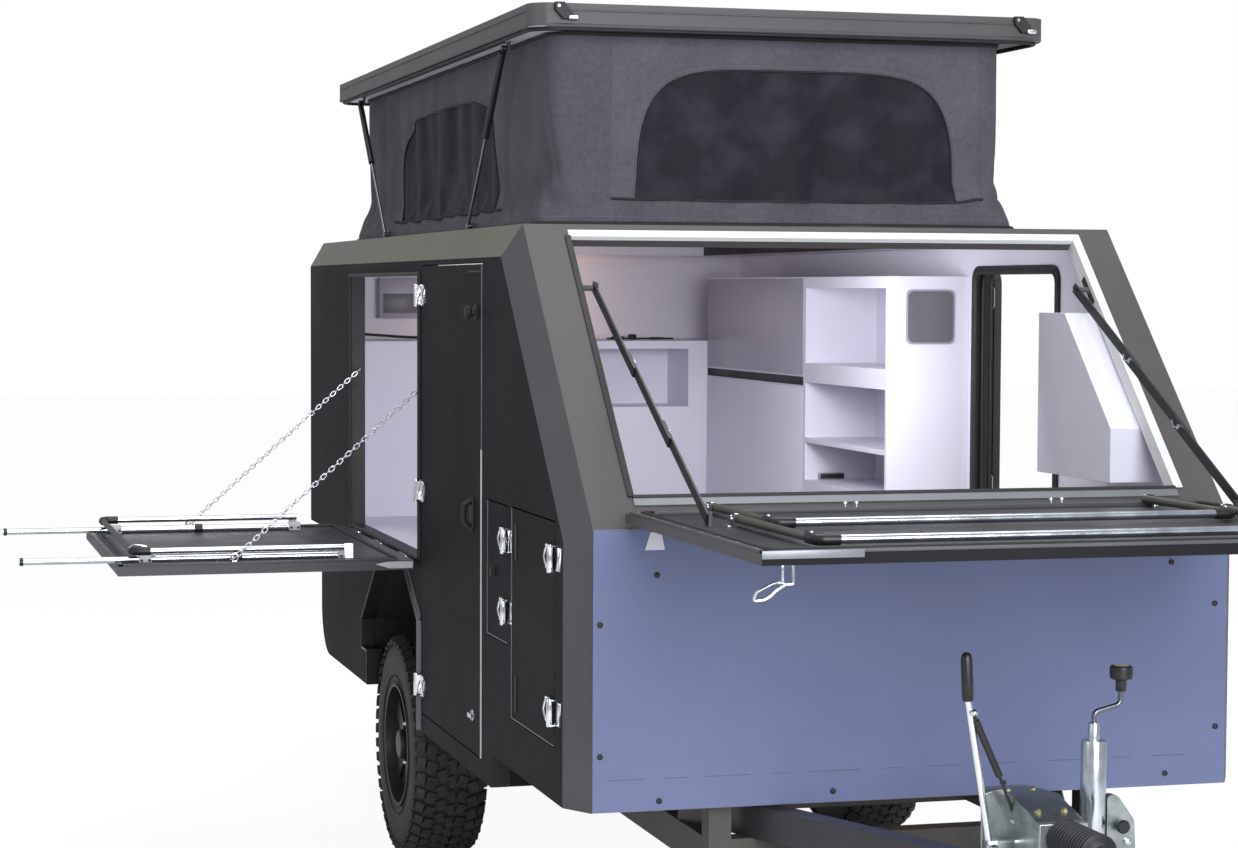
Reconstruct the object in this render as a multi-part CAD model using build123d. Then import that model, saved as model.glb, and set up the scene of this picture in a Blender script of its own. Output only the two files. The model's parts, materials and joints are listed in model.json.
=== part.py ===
from build123d import *
from math import atan2, degrees, hypot, pi
import os

# An off-road pop-top camper trailer, standing on its wheels and its jockey wheel with everything open.
# While it is laid out, Y runs back from the front wall, X to the right seen from the front, and Z up from
# the body's datum. The wheels' radius and their height in it say where the ground is. All in millimetres.

# ---- driving dimensions -------------------------------------------------------------------------------

# body shell
BODY_HALF = 930          # half the width over the flat side panels
BEVEL_IN = 53            # how far in from them the front, slope and top faces end, at the bevels
BEVEL = 90               # how far the bevels run back from those faces
WALL = 40                # front, slope, top and rear walls
SILL_Z = 585             # underside of the front wall
BEND_Z = 1299            # where the front wall turns into the slope
TOP_Z = 2077
SLOPE_RUN = 744
BODY_END = 4160
LEDGE_Y = 3808           # the rear wall is stepped in below the ledge
LEDGE_Z = 980
REAR_SKIRT_Z = 500
TOP_CORNER_R = 100
REAR_CORNER_R = 180
FLOOR_T = 35

# dropped step well under the two doors
WELL_FRONT = 890
WELL_Z = 490
WELL_T = 15

# wheel arches
ARCH_FRONT = 1897
ARCH_REAR = 2935
ARCH_TOP = 985
ARCH_KNEE = (843, 2111)      # height of the front knee, and where the flat top starts
ARCH_HEEL = (2590, 720)      # where the flat top ends, and height of the rear knee
ARCH_TAIL = (2832, 625)      # the little step in the rear edge
TUB_T = 12
TUB_GAP = 25                 # between a tub's inner wall and its tyre

# wheels
AXLE_Y = 2469
AXLE_Z = 347
TYRE_R = 374
TYRE_W = 246
TYRE_INSET = 29              # outer face of a tyre, in from the side panel
TYRE_SHOULDER = (22, 45)     # across the tread and down the sidewall
RIM_R = 205
STUB_R = 25
AXLE_GAP = 65                # between the end of the axle's beam and a tyre
ARM_LONG = 260               # the axle's trailing arms
ARM_IN = 30                  # a trailing arm reaches in from the end of the beam
ARM_OUT = 10
RUN_FIT = 0.05

# openings of the slope, the roof and the sides
SLOPE_CUT = (103, 1030)      # along the slope
SLOPE_CUT_HALF = 755
ROOF_LIP = (41, 52)          # the roof opening ends inside the tent, along X and Y
HATCH = (1900, 3160)         # side opening, along Y
HATCH_Z = (1040, 1945)
ENTRY = (1061, 1690)         # doorway on the right
ENTRY_Z = (552, 1965)
ENTRY_R = 50
ENTRY_LEAF_T = 25
ENTRY_PIN_OUT = 8
ENTRY_OPEN = 174             # how far the entry door has swung, in degrees
DOOR_GAP = 5
LEAF_T = 45

# doors on the left: name, front, rear, bottom, top, hinge edge
LEFT_DOORS = (
    ("big_door", 1011, 1868, 552, 1968, "rear"),
    ("small_locker_door", 690, 935, 925, 1301, "front"),
    ("big_locker_door", 172, 642, 728, 1303, "front"),
)
LOCKER_DEPTH = 205
LOCKER_T = 12
PIN_OUT = 16                 # how far a left door's hinge pin stands off the side panel
KNUCKLE_R = 7
HINGE_PIN_R = 3
HINGE_HEIGHT = 60
HINGE_END = 60               # from a door's end to its first hinge
HINGE_T = 4

# pop-top
LIFT = 510
SLAB_EAVES = (64, 70, 103)   # how far the slab stands out past the tent: sides, front, rear
SLAB_T = 68
SLAB_CORNER_R = 60
HEADLINER = 30               # the slab is recessed inside the tent, this far in
HEAD_ROOM = 38               # and this deep
SLAB_RAISED = 2643
TENT_HALF = 731
TENT = (1058, 4122)
TENT_T = 10
SOFT_GAP = 0.3
STRUT_OUT = 33               # struts stand outside the tent
STRUT_DROP = 22              # pivots below the slab and above the body top
STRUTS = (("front", 1462, 1944), ("rear", 3884, 3364))   # name, Y of the upper pivot, Y of the lower pivot
STRUT_TUBE_R = 11
STRUT_ROD_R = 5
STRUT_TUBE = 345
STRUT_PARK = 275             # where the rod ends inside the tube with the roof up

# front flap
FLAP_LAP = 37                # over the slope's opening, on each side
FLAP_T = 25
FLAP_REACH = 1058
FLAP_PIN = 30                # along the slope
FLAP_PIN_OUT = 14
FLAP_FACE = 8                # inner face above the pin
FLAP_PIN_R = 4
FLAP_HINGES = (-560, 0, 560)
HINGE_LONG = 120

# stays of the front flap
STAY_FOOT = 385              # out along the flap
STAY_HEAD = 820              # along the slope from the flap's pin
STAY_IN = 53                 # inside the edge of the slope's opening
STAY_RISE = 24               # pivot above the flap's inner face
STAY_WIDTH = 28
STAY_T = 5
STAY_PITCH = 5.3             # from one section to the next, along X
STAY_PIN_R = 4
STAY_LAP = 70

# side flap
SIDE_FLAP = (1895, 3170)
SIDE_FLAP_T = 30
SIDE_FLAP_REACH = 935
SIDE_PIN_OUT = 15            # hinge pin, off the side panel and below the opening
SIDE_PIN_DROP = 10
SIDE_FACE = 6                # inner face above the pin; closed, it clears the door's hinge leaves
SIDE_HINGES = (2100, 2532, 2965)
CHAIN_EYE = (25, 1600)       # eyes on the opening's jambs: in from the side panel, and Z
CHAIN_OUT = 570              # where the chains hook on, out along the flap
CHAIN_R = 6

# tubes of the tent bows and legs
BOW_R = 10
BOW_PIN_R = 4
SIDE_BOW_Y = (1960, 3100)
LEGS = (("front", 1978), ("rear", 3020))
LEG_R = 12.5
LEG_REACH = 1231             # tip of a leg, out along the side flap
LEG_LAP = 300                # how much of it is still inside its sleeve
LEG_RETRACT = 341            # how far it slides in as the flap closes

# chassis and drawbar
RAIL_X = 520
RAIL = (60, 90)
CROSS_Y = (60, 830, 2150, 2900)              # crossmembers
CROSS_LAST = 120                             # the last one, before the rear wall
MOUNT_Y = (60, 500, 2150, 2960, 3600)        # blocks that carry the floor
DRAW_Y = 350                 # where the drawbar's beams meet the rails
NOSE_Y = -830
NOSE_X = 32
BEAM = (60, 85)
NOSE_BLOCK = (-20, 120)      # the block that joins the beams, along Y from the nose
HOUSING = (-30, 290)         # the coupling's housing, along Y from the nose
HITCH_Y = -1250              # centre of the tow ball
HITCH_Z = 600
BALL_DEPTH = 25
BALL_R = 25.2
LEVER = ((-109, 606), (-168, 950), (-173, 1054))      # handbrake: foot, grip's lower and upper end, (X, Z)
LEVER_STRUT = ((-160, 925), (-89, 771), (-47, 668))   # its gas strut: head, end of the tube, end of the rod

# jockey wheel
JOCKEY = (141, -720)
JOCKEY_TUBE_R = 30
JOCKEY_LEG_R = 24
JOCKEY_FOOT = 300            # lower end of the outer tube
JOCKEY_TOP = 850
JOCKEY_WHEEL_R = 100
JOCKEY_WHEEL_W = 60
JOCKEY_TRAIL = 45
JOCKEY_LIFT = 60
JOCKEY_SPLIT = 235           # height of the fork's crown
CRANK = ((0, 40), (0, 66), (66, 82), (68, 118))       # (X, Z) from the tube's top
KNOB = ((113, 140, 13), (140, 174, 27))               # its neck and head: low, high, radius

# interior
PANEL = 18
COUNTER_Y = 3673
COUNTER_Z = 1697
COUNTER_T = 30
NICHE = (60, 513)
NICHE_Z = (1437, 1665)
NICHE_DEPTH = 300
CAB_DEPTH = 285
CAB_TOP = 1945
GRIP_SLOT = (1560, 1590)     # finger slot along the cupboards
SHELF_Y = (1745, 2545)
SHELF_Z = (1207, 1357, 1622)
SHELF_PANEL = 1225           # top of the closed lower part
FASCIA = ((1572, 1640), (1905, CAB_TOP))
BENCH_HALF = 300             # its inner edge, left of the middle
BENCH_T = 25
NOOK_W = 212                 # wall cupboard in the front right corner
NOOK_Y = (275, 745)
NOOK_Z = (1373, 1835)
NOOK_GAP = 5                 # to the slope's inner face

# ---- worked out from them -----------------------------------------------------------------------------

SLOPE_RISE = TOP_Z - BEND_Z
SLOPE = hypot(SLOPE_RUN, SLOPE_RISE)
RUN, RISE = SLOPE_RUN / SLOPE, SLOPE_RISE / SLOPE
CLOSE = degrees(pi - atan2(SLOPE_RISE, SLOPE_RUN))        # the front flap's swing
FACE_HALF = BODY_HALF - BEVEL_IN
GROUND = AXLE_Z - TYRE_R
TYRE_OUT = BODY_HALF - TYRE_INSET
TYRE_IN = TYRE_OUT - TYRE_W
TUB_HALF = TYRE_IN - TUB_GAP
AXLE_HALF = TYRE_IN - AXLE_GAP
ROOF_CUT_HALF = TENT_HALF - ROOF_LIP[0]
ROOF_CUT = (TENT[0] + ROOF_LIP[1], TENT[1] - ROOF_LIP[1])
SLAB_HALF = TENT_HALF + SLAB_EAVES[0]
SLAB = (TENT[0] - SLAB_EAVES[1], TENT[1] + SLAB_EAVES[2])
STRUT_X = TENT_HALF + STRUT_OUT
FLAP_HALF = SLOPE_CUT_HALF + FLAP_LAP
STAY_X = SLOPE_CUT_HALF - STAY_IN
SIDE_PIN = (BODY_HALF + SIDE_PIN_OUT, HATCH_Z[0] - SIDE_PIN_DROP)

parts = {}


def block(x, y, z):
    """A box from its low and high X, Y and Z."""
    centre = [(low + high) / 2 for low, high in (x, y, z)]
    return Pos(*centre) * Box(x[1] - x[0], y[1] - y[0], z[1] - z[0])


def prism(points, x):
    """A prism along X, from its (Y, Z) outline."""
    outline = Polyline(*[(x[0], y, z) for y, z in points], close=True)
    return extrude(make_face(outline), amount=x[1] - x[0], dir=(1, 0, 0))


def rod(start, end, radius, bore=0):
    """A round bar or tube between two points."""
    axis = Vector(*end) - Vector(*start)
    place = Plane(origin=start, z_dir=axis)
    bar = place * Cylinder(radius, axis.length, align=(Align.CENTER, Align.CENTER, Align.MIN))
    if bore:
        bar -= place * Cylinder(bore, axis.length, align=(Align.CENTER, Align.CENTER, Align.MIN))
    return bar


def disc(centre, radius, x):
    """A round plate across X, centred on (Y, Z)."""
    return rod((x[0], *centre), (x[1], *centre), radius)


def both(shape):
    """A shape on the left and its mirror image on the right."""
    return shape, mirror(shape, about=Plane.YZ)


def on_slope(along, inward=0):
    """(Y, Z) of a point on the slope, or so far inside it."""
    return along * RUN + inward * RISE, BEND_Z + along * RISE - inward * RUN


# ---- body shell ---------------------------------------------------------------------------------------

ARCH = (
    (ARCH_TAIL[0], REAR_SKIRT_Z),
    ARCH_TAIL,
    (ARCH_REAR, ARCH_TAIL[1]),
    (ARCH_REAR, ARCH_HEEL[1]),
    (ARCH_HEEL[0], ARCH_TOP),
    (ARCH_KNEE[1], ARCH_TOP),
    (ARCH_FRONT, ARCH_KNEE[0]),
    (ARCH_FRONT, WELL_Z),
)


def upper_outline(inset):
    """The body's outline from the front wall's foot over the slope to the ledge, moved inwards."""
    bend = inset, BEND_Z - inset * RUN + (inset - inset * RISE) * RISE / RUN
    crest = inset * RISE + (TOP_Z - inset - BEND_Z + inset * RUN) * RUN / RISE, TOP_Z - inset
    rear = BODY_END - inset
    return (inset, SILL_Z), bend, crest, (rear, TOP_Z - inset), (rear, LEDGE_Z)


def side_face(x, inset):
    """A side wall's face with its wheel arch, at one X."""
    points = (*upper_outline(inset), (LEDGE_Y, LEDGE_Z), (LEDGE_Y, REAR_SKIRT_Z), *ARCH)
    points += ((WELL_FRONT, WELL_Z), (WELL_FRONT, SILL_Z))
    face = make_face(Polyline(*[(x, y, z) for y, z in points], close=True)).face()
    for y, z, radius in ((BODY_END - inset, TOP_Z - inset, TOP_CORNER_R - inset),
                         (LEDGE_Y, REAR_SKIRT_Z, REAR_CORNER_R)):
        corner = next(v for v in face.vertices() if abs(v.Y - y) + abs(v.Z - z) < 0.01)
        face = face.fillet_2d(radius, [corner])
    return face


def doorway(x, y, z, radius):
    """A box with its four edges along X rounded."""
    shape = block(x, y, z)
    return fillet(shape.edges().filter_by(Axis.X), radius)


outer, inner = upper_outline(0), upper_outline(WALL)
faces_x = (-FACE_HALF, FACE_HALF)

parts["front_wall"] = prism([outer[0], outer[1], inner[1], inner[0]], faces_x)

slope_cut = [on_slope(a, i) for a, i in
             ((SLOPE_CUT[0], -WALL), (SLOPE_CUT[1], -WALL), (SLOPE_CUT[1], 2 * WALL), (SLOPE_CUT[0], 2 * WALL))]
parts["slope_frame"] = (prism([outer[1], outer[2], inner[2], inner[1]], faces_x)
                        - prism(slope_cut, (-SLOPE_CUT_HALF, SLOPE_CUT_HALF)))

top_end = BODY_END - TOP_CORNER_R - 20
parts["top_frame"] = (prism([outer[2], (top_end, TOP_Z), (top_end, TOP_Z - WALL), inner[2]], faces_x)
                      - block((-ROOF_CUT_HALF, ROOF_CUT_HALF), ROOF_CUT, (TOP_Z - 2 * WALL, TOP_Z + WALL)))

rear = prism(
    [(top_end, TOP_Z), (BODY_END, TOP_Z), (BODY_END, LEDGE_Z), (LEDGE_Y, LEDGE_Z),
     (LEDGE_Y, REAR_SKIRT_Z), (LEDGE_Y - WALL, REAR_SKIRT_Z), (LEDGE_Y - WALL, LEDGE_Z + WALL),
     (BODY_END - WALL, LEDGE_Z + WALL), (BODY_END - WALL, TOP_Z - WALL), (top_end, TOP_Z - WALL)],
    faces_x)
for y, z, radius in ((BODY_END, TOP_Z, TOP_CORNER_R), (BODY_END - WALL, TOP_Z - WALL, TOP_CORNER_R - WALL)):
    corner = [e for e in rear.edges().filter_by(Axis.X) if abs(e.center().Y - y) + abs(e.center().Z - z) < 0.1]
    rear = fillet(corner, radius)
parts["rear_wall"] = rear

side_wall = loft([side_face(-FACE_HALF, 0), side_face(-BODY_HALF, BEVEL)], ruled=True)
side_x = (-BODY_HALF - WALL, -FACE_HALF + WALL)
left_wall = side_wall - block(side_x, HATCH, HATCH_Z)
for _, front, back, low, high, _ in LEFT_DOORS:
    left_wall -= block(side_x, (front - DOOR_GAP, back + DOOR_GAP), (low - DOOR_GAP, high + DOOR_GAP))
parts["left_wall"] = left_wall
entry_x = (FACE_HALF - WALL, BODY_HALF + WALL)
parts["right_wall"] = mirror(side_wall, about=Plane.YZ) - block(entry_x, ENTRY, ENTRY_Z)
# the panel is cut square, and four corner blocks set in the cut with a thin joint round the doorway off
joint_y, joint_z = [(low + SOFT_GAP, high - SOFT_GAP) for low, high in (ENTRY, ENTRY_Z)]
entry_corners = block((FACE_HALF, BODY_HALF), joint_y, joint_z) - doorway(entry_x, ENTRY, ENTRY_Z, ENTRY_R)

floor_z = (SILL_Z, SILL_Z + FLOOR_T)
well_end = ARCH_FRONT
tub_end = ARCH_REAR + TUB_T
parts["floor"] = Part() + [
    block(faces_x, (WALL, WELL_FRONT + WELL_T), floor_z),
    block((-TUB_HALF, TUB_HALF), (well_end - WELL_T, tub_end), floor_z)
    + block(faces_x, (tub_end, LEDGE_Y - WALL), floor_z),
]
parts["step_well"] = (
    block(faces_x, (WELL_FRONT, well_end - TUB_T), (WELL_Z, SILL_Z))
    - block((-BODY_HALF, BODY_HALF), (WELL_FRONT + WELL_T, well_end - TUB_T - WELL_T), (WELL_Z + WELL_T, TOP_Z)))

tub_inner = [(ARCH_REAR, 0), *ARCH[3:-1], (ARCH_FRONT, 0)]
tub_outer = [(ARCH_REAR + TUB_T, REAR_SKIRT_Z), (ARCH_REAR + TUB_T, ARCH_HEEL[1] + TUB_T / 2),
             (ARCH_HEEL[0] + TUB_T / 2, ARCH_TOP + TUB_T), (ARCH_KNEE[1] - TUB_T / 3, ARCH_TOP + TUB_T),
             (ARCH_FRONT - TUB_T, ARCH_KNEE[0] + TUB_T / 2), (ARCH_FRONT - TUB_T, WELL_Z)]
tub = prism(tub_outer, (-FACE_HALF, -TUB_HALF)) - prism(tub_inner, (-FACE_HALF, -TUB_HALF - TUB_T))
parts["wheel_tub_left"], parts["wheel_tub_right"] = both(tub)

# ---- doors --------------------------------------------------------------------------------------------

pins = {}


def hinge_heights(low, high):
    """Where a door's hinges stand: three on a tall door, two on a small one."""
    count = 3 if high - low > 800 else 2
    reach = high - low - 2 * HINGE_END - HINGE_HEIGHT
    return [low + HINGE_END + reach * k / (count - 1) for k in range(count)]


def leaf_plate(pin, z, toward, reach):
    """A hinge leaf on the outside of a panel, from near the pin to its reach."""
    face = -BODY_HALF if pin[0] < 0 else BODY_HALF
    out_face = face - HINGE_T if pin[0] < 0 else face + HINGE_T
    y = sorted((pin[1] + toward * (KNUCKLE_R + 1), pin[1] + toward * reach))
    return block(sorted((face, out_face)), y, (z, z + HINGE_HEIGHT))


def moving_leaves(pin, low, high, toward):
    """The door's half of its hinges: a leaf, its arm and the knuckle around the pin."""
    leaves = Part()
    for z in hinge_heights(low, high):
        arm_x = sorted((pin[0], -BODY_HALF if pin[0] < 0 else BODY_HALF))
        arm_y = sorted((pin[1] + toward * 5, pin[1] + toward * 12))
        half = leaf_plate(pin, z, toward, 60) + block(arm_x, arm_y, (z, z + HINGE_HEIGHT))
        half += rod((*pin, z), (*pin, z + HINGE_HEIGHT), KNUCKLE_R)
        leaves += half - rod((*pin, z - 1), (*pin, z + HINGE_HEIGHT + 1), HINGE_PIN_R + RUN_FIT)
    return leaves


def fixed_leaves(pin, low, high, toward):
    """The wall's half of the same hinges: a leaf, the pin and the two lugs that hold it."""
    leaves = Part()
    for z in hinge_heights(low, high):
        half = leaf_plate(pin, z, -toward, 52) + rod((*pin, z - 5), (*pin, z + HINGE_HEIGHT + 5), HINGE_PIN_R)
        lug_x = sorted((pin[0] - (HINGE_PIN_R if pin[0] < 0 else -HINGE_PIN_R),
                        -BODY_HALF if pin[0] < 0 else BODY_HALF))
        lug_y = sorted((pin[1] + toward * HINGE_PIN_R, pin[1] - toward * 12))
        for lug_z in ((z - 5, z - 0.5), (z + HINGE_HEIGHT + 0.5, z + HINGE_HEIGHT + 5)):
            half += block(lug_x, lug_y, lug_z)
        leaves += half
    return leaves


for name, front, back, low, high, edge in LEFT_DOORS:
    toward = -1 if edge == "rear" else 1
    pin = (-BODY_HALF - PIN_OUT, back + KNUCKLE_R + 2 if edge == "rear" else front - KNUCKLE_R - 2)
    leaf = block((-BODY_HALF, -BODY_HALF + LEAF_T), (front, back), (low, high))
    parts[name] = leaf + moving_leaves(pin, low, high, toward)
    parts["left_wall"] += fixed_leaves(pin, low, high, toward)
    pins[name] = pin

lockers = Part()
for name, front, back, low, high, _ in LEFT_DOORS[1:]:
    inside = -FACE_HALF + LOCKER_DEPTH
    shell = block((-FACE_HALF, inside), (front - LOCKER_T, back + LOCKER_T), (low - LOCKER_T, high + LOCKER_T))
    lockers += shell - block((-BODY_HALF, inside - LOCKER_T), (front, back), (low, high))
parts["locker_boxes"] = lockers

entry_pin = (BODY_HALF + ENTRY_PIN_OUT, ENTRY[1] + 2)
entry = doorway((BODY_HALF - ENTRY_LEAF_T, BODY_HALF), (ENTRY[0] + DOOR_GAP, ENTRY[1] - DOOR_GAP),
                (ENTRY_Z[0] + DOOR_GAP, ENTRY_Z[1] - DOOR_GAP), ENTRY_R - DOOR_GAP)
entry += moving_leaves(entry_pin, *ENTRY_Z, -1)
parts["right_wall"] += fixed_leaves(entry_pin, *ENTRY_Z, -1)
parts["right_wall"] += entry_corners
parts["entry_door"] = Pos(*entry_pin) * Rot(0, 0, ENTRY_OPEN) * Pos(-entry_pin[0], -entry_pin[1]) * entry
pins["entry_door"] = entry_pin

# ---- pop-top ------------------------------------------------------------------------------------------

slab = block((-SLAB_HALF, SLAB_HALF), SLAB, (SLAB_RAISED, SLAB_RAISED + SLAB_T))
slab = fillet(slab.edges().filter_by(Axis.Z), SLAB_CORNER_R)
slab -= block((HEADLINER - TENT_HALF, TENT_HALF - HEADLINER), (TENT[0] + HEADLINER, TENT[1] - HEADLINER),
              (SLAB_RAISED, SLAB_RAISED + HEAD_ROOM))
strut_high = SLAB_RAISED - STRUT_DROP
strut_low = TOP_Z + STRUT_DROP
for _, y_high, y_low in STRUTS:
    for side in (-1, 1):
        ear = block(sorted((side * (STRUT_X - 13), side * (STRUT_X - 19))), (y_high - 15, y_high + 15),
                    (strut_high - 12, SLAB_RAISED))
        slab += ear
parts["roof_slab"] = slab
top_ears = Part()
for _, y_high, y_low in STRUTS:
    for side in (-1, 1):
        top_ears += block(sorted((side * (STRUT_X - 13), side * (STRUT_X - 19))), (y_low - 15, y_low + 15),
                          (TOP_Z, strut_low + 12))
parts["strut_feet"] = top_ears

tent_z = (TOP_Z + SOFT_GAP, SLAB_RAISED - SOFT_GAP)
parts["tent"] = (block((-TENT_HALF, TENT_HALF), TENT, tent_z)
                 - block((TENT_T - TENT_HALF, TENT_HALF - TENT_T), (TENT[0] + TENT_T, TENT[1] - TENT_T),
                         (TOP_Z, SLAB_RAISED)))

for where, y_high, y_low in STRUTS:
    head, foot = Vector(0, y_high, strut_high), Vector(0, y_low, strut_low)
    aim = (foot - head).normalized()
    for side, x in (("left", -STRUT_X), ("right", STRUT_X)):
        place = Vector(x, 0, 0)
        tube_end = head + aim * STRUT_TUBE
        inboard = 1 if x < 0 else -1
        tube = rod(place + head + aim * 14, place + tube_end, STRUT_TUBE_R, STRUT_ROD_R + 1)
        tube += rod(place + head + aim * 14, place + head + aim * 20, STRUT_TUBE_R)
        tube += rod(place + head, place + head + aim * 15, 6)
        tube += disc((y_high, strut_high), 9, sorted((x - 5, x + inboard * 12.7)))
        parts[f"strut_tube_{where}_{side}"] = tube
        bar = rod(place + head + aim * STRUT_PARK, place + foot - aim * 8, STRUT_ROD_R)
        bar += disc((y_low, strut_low), 9, sorted((x - inboard * 5, x + inboard * 12.0)))
        parts[f"strut_rod_{where}_{side}"] = bar

# ---- front flap, its bows and stays ---------------------------------------------------------------------

flap_pin = on_slope(FLAP_PIN, -FLAP_PIN_OUT)
flap_top = flap_pin[1] + FLAP_FACE


def out(reach, rise=0):
    """(Y, Z) of a point so far out along the open front flap, above its inner face."""
    return flap_pin[0] - reach, flap_top + rise


flap = block((-FLAP_HALF, FLAP_HALF), (flap_pin[0] - FLAP_REACH, flap_pin[0] - 6), (flap_top - FLAP_T, flap_top))
parts["front_flap"] = flap
for centre in FLAP_HINGES:
    knuckle_x = (centre - HINGE_LONG / 2, centre + HINGE_LONG / 2)
    parts["front_flap"] += rod((knuckle_x[0], *flap_pin), (knuckle_x[1], *flap_pin), FLAP_PIN_R + 4)
    parts["front_flap"] -= rod((-FACE_HALF, *flap_pin), (FACE_HALF, *flap_pin), FLAP_PIN_R + RUN_FIT)
    parts["slope_frame"] += disc(flap_pin, FLAP_PIN_R, (knuckle_x[0] - 20, knuckle_x[1] + 20))
    web = [on_slope(FLAP_PIN - 5, 2), on_slope(FLAP_PIN + 5, 2),
           on_slope(FLAP_PIN + 5, -FLAP_PIN_OUT), on_slope(FLAP_PIN - 5, -FLAP_PIN_OUT)]
    for lug_x in ((knuckle_x[0] - 20, knuckle_x[0] - 0.5), (knuckle_x[1] + 0.5, knuckle_x[1] + 20)):
        parts["slope_frame"] += prism(web, lug_x) + disc(flap_pin, FLAP_PIN_R + 1.5, lug_x)

# bows: name, half width, pivot out along the flap, length
BOWS = (("front_bow_near", 590, 100, 455), ("front_bow_far", 636, 425, 550))
bow_rise = 20
for name, half, pivot, length in BOWS:
    y0, z = out(pivot, bow_rise)
    y1 = out(pivot + length)[0]
    end = y0 + 12
    path = FilletPolyline((-half, end, z), (-half, y1, z), (half, y1, z), (half, end, z), radius=35)
    bow = sweep(Plane(origin=(-half, end, z), z_dir=(0, -1, 0)) * Circle(BOW_R), path=path)
    parts[name] = bow - rod((-FLAP_HALF, y0, z), (FLAP_HALF, y0, z), BOW_PIN_R + RUN_FIT)
    for sign in (-1, 1):
        cheek_x = sorted((sign * (half + BOW_R + SOFT_GAP), sign * (half + BOW_R + 5)))
        pin_x = sorted((sign * (half - BOW_R - 3), sign * (half + BOW_R + 5)))
        parts["front_flap"] += block(cheek_x, (y0 - 14, y0 + 14), (flap_top, z + 12))
        parts["front_flap"] += disc((y0, z), BOW_PIN_R, pin_x)

foot_y, foot_z = out(STAY_FOOT, STAY_RISE)
head_y, head_z = on_slope(FLAP_PIN + STAY_HEAD, STAY_RISE - (FLAP_PIN_OUT - FLAP_FACE))
stay_aim = Vector(0, head_y - foot_y, head_z - foot_z)
stay_closed = STAY_HEAD - STAY_FOOT
stay_step = (stay_aim.length - stay_closed) / 2
stay_leaf = stay_step + STAY_LAP
stay_aim = stay_aim.normalized()
for side, sign in (("left", -1), ("right", 1)):
    foot = Vector(sign * STAY_X, foot_y, foot_z)
    head = Vector(sign * STAY_X, head_y, head_z)
    for k, section in enumerate(("foot", "middle", "head")):
        begin = foot + Vector(sign * k * STAY_PITCH, 0, 0) + stay_aim * (k * stay_step - STAY_WIDTH / 2)
        length = stay_leaf + STAY_WIDTH / 2
        if k == 2:
            length = (head - foot).length - 2 * stay_step + STAY_WIDTH
        place = Plane(origin=begin, x_dir=(1, 0, 0), z_dir=stay_aim)
        leaf = place * Box(STAY_T, STAY_WIDTH, length, align=(Align.CENTER, Align.CENTER, Align.MIN))
        if k == 0:
            leaf -= disc((foot_y, foot_z), STAY_PIN_R + RUN_FIT, (foot.X - 10, foot.X + 10))
        parts[f"stay_{section}_{side}"] = leaf
    pin_x = sorted((sign * (STAY_X - 12), sign * (STAY_X + STAY_T / 2)))
    lug_x = sorted((sign * (STAY_X - 12), sign * (STAY_X - STAY_T / 2 - SOFT_GAP)))
    parts["front_flap"] += disc((foot_y, foot_z), STAY_PIN_R, pin_x)
    parts["front_flap"] += block(lug_x, (foot_y - 14, foot_y + 14), (flap_top, foot_z + 12))
    stud_x = sorted((sign * (STAY_X + 2 * STAY_PITCH + STAY_T / 2 + 1), sign * (SLOPE_CUT_HALF + 5)))
    parts["slope_frame"] += disc((head_y, head_z), 8, stud_x)

# ---- side flap ------------------------------------------------------------------------------------------

side_top = SIDE_PIN[1] + SIDE_FACE
side_in = -SIDE_PIN[0] - 6
side_out = -SIDE_PIN[0] - SIDE_FLAP_REACH
parts["side_flap"] = block((side_out, side_in), SIDE_FLAP, (side_top - SIDE_FLAP_T, side_top))

bow_x = (side_in - 200, side_out + 50)
bow_z = side_top + 2 * LEG_R + BOW_R + 6
bow_end = bow_x[0] + 12
path = FilletPolyline((bow_end, SIDE_BOW_Y[0], bow_z), (bow_x[1], SIDE_BOW_Y[0], bow_z),
                      (bow_x[1], SIDE_BOW_Y[1], bow_z), (bow_end, SIDE_BOW_Y[1], bow_z), radius=35)
bow = sweep(Plane(origin=(bow_end, SIDE_BOW_Y[0], bow_z), z_dir=(-1, 0, 0)) * Circle(BOW_R), path=path)
bow_bore = rod((bow_x[0], SIDE_FLAP[0], bow_z), (bow_x[0], SIDE_FLAP[1], bow_z), BOW_PIN_R + RUN_FIT)
parts["side_bow"] = bow - bow_bore
for y, sign in zip(SIDE_BOW_Y, (-1, 1)):
    cheek_y = sorted((y + sign * (BOW_R + SOFT_GAP), y + sign * (BOW_R + 5)))
    parts["side_flap"] += block((bow_x[0] - 14, bow_x[0] + 14), cheek_y, (side_top, bow_z + 12))
    bow_pin = rod((bow_x[0], y - sign * (BOW_R + 3), bow_z), (bow_x[0], cheek_y[0], bow_z), BOW_PIN_R)
    parts["side_flap"] += bow_pin
pin_z = SIDE_PIN[1]
for centre in SIDE_HINGES:
    y0, y1 = centre - HINGE_LONG / 2, centre + HINGE_LONG / 2
    parts["side_flap"] += rod((-SIDE_PIN[0], y0, pin_z), (-SIDE_PIN[0], y1, pin_z), FLAP_PIN_R + 4)
    pin_bore = rod((-SIDE_PIN[0], y0 - 9, pin_z), (-SIDE_PIN[0], y1 + 9, pin_z), FLAP_PIN_R + RUN_FIT)
    parts["side_flap"] -= pin_bore
    parts["left_wall"] += rod((-SIDE_PIN[0], y0 - 20, pin_z), (-SIDE_PIN[0], y1 + 20, pin_z), FLAP_PIN_R)
    for lug_y in ((y0 - 20, y0 - 0.5), (y1 + 0.5, y1 + 20)):
        parts["left_wall"] += block((-SIDE_PIN[0], -BODY_HALF + 2), lug_y, (pin_z - 5, pin_z + 5))
        lug_start, lug_end = [(-SIDE_PIN[0], lug, pin_z) for lug in lug_y]
        parts["left_wall"] += rod(lug_start, lug_end, FLAP_PIN_R + 1.5)

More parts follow.
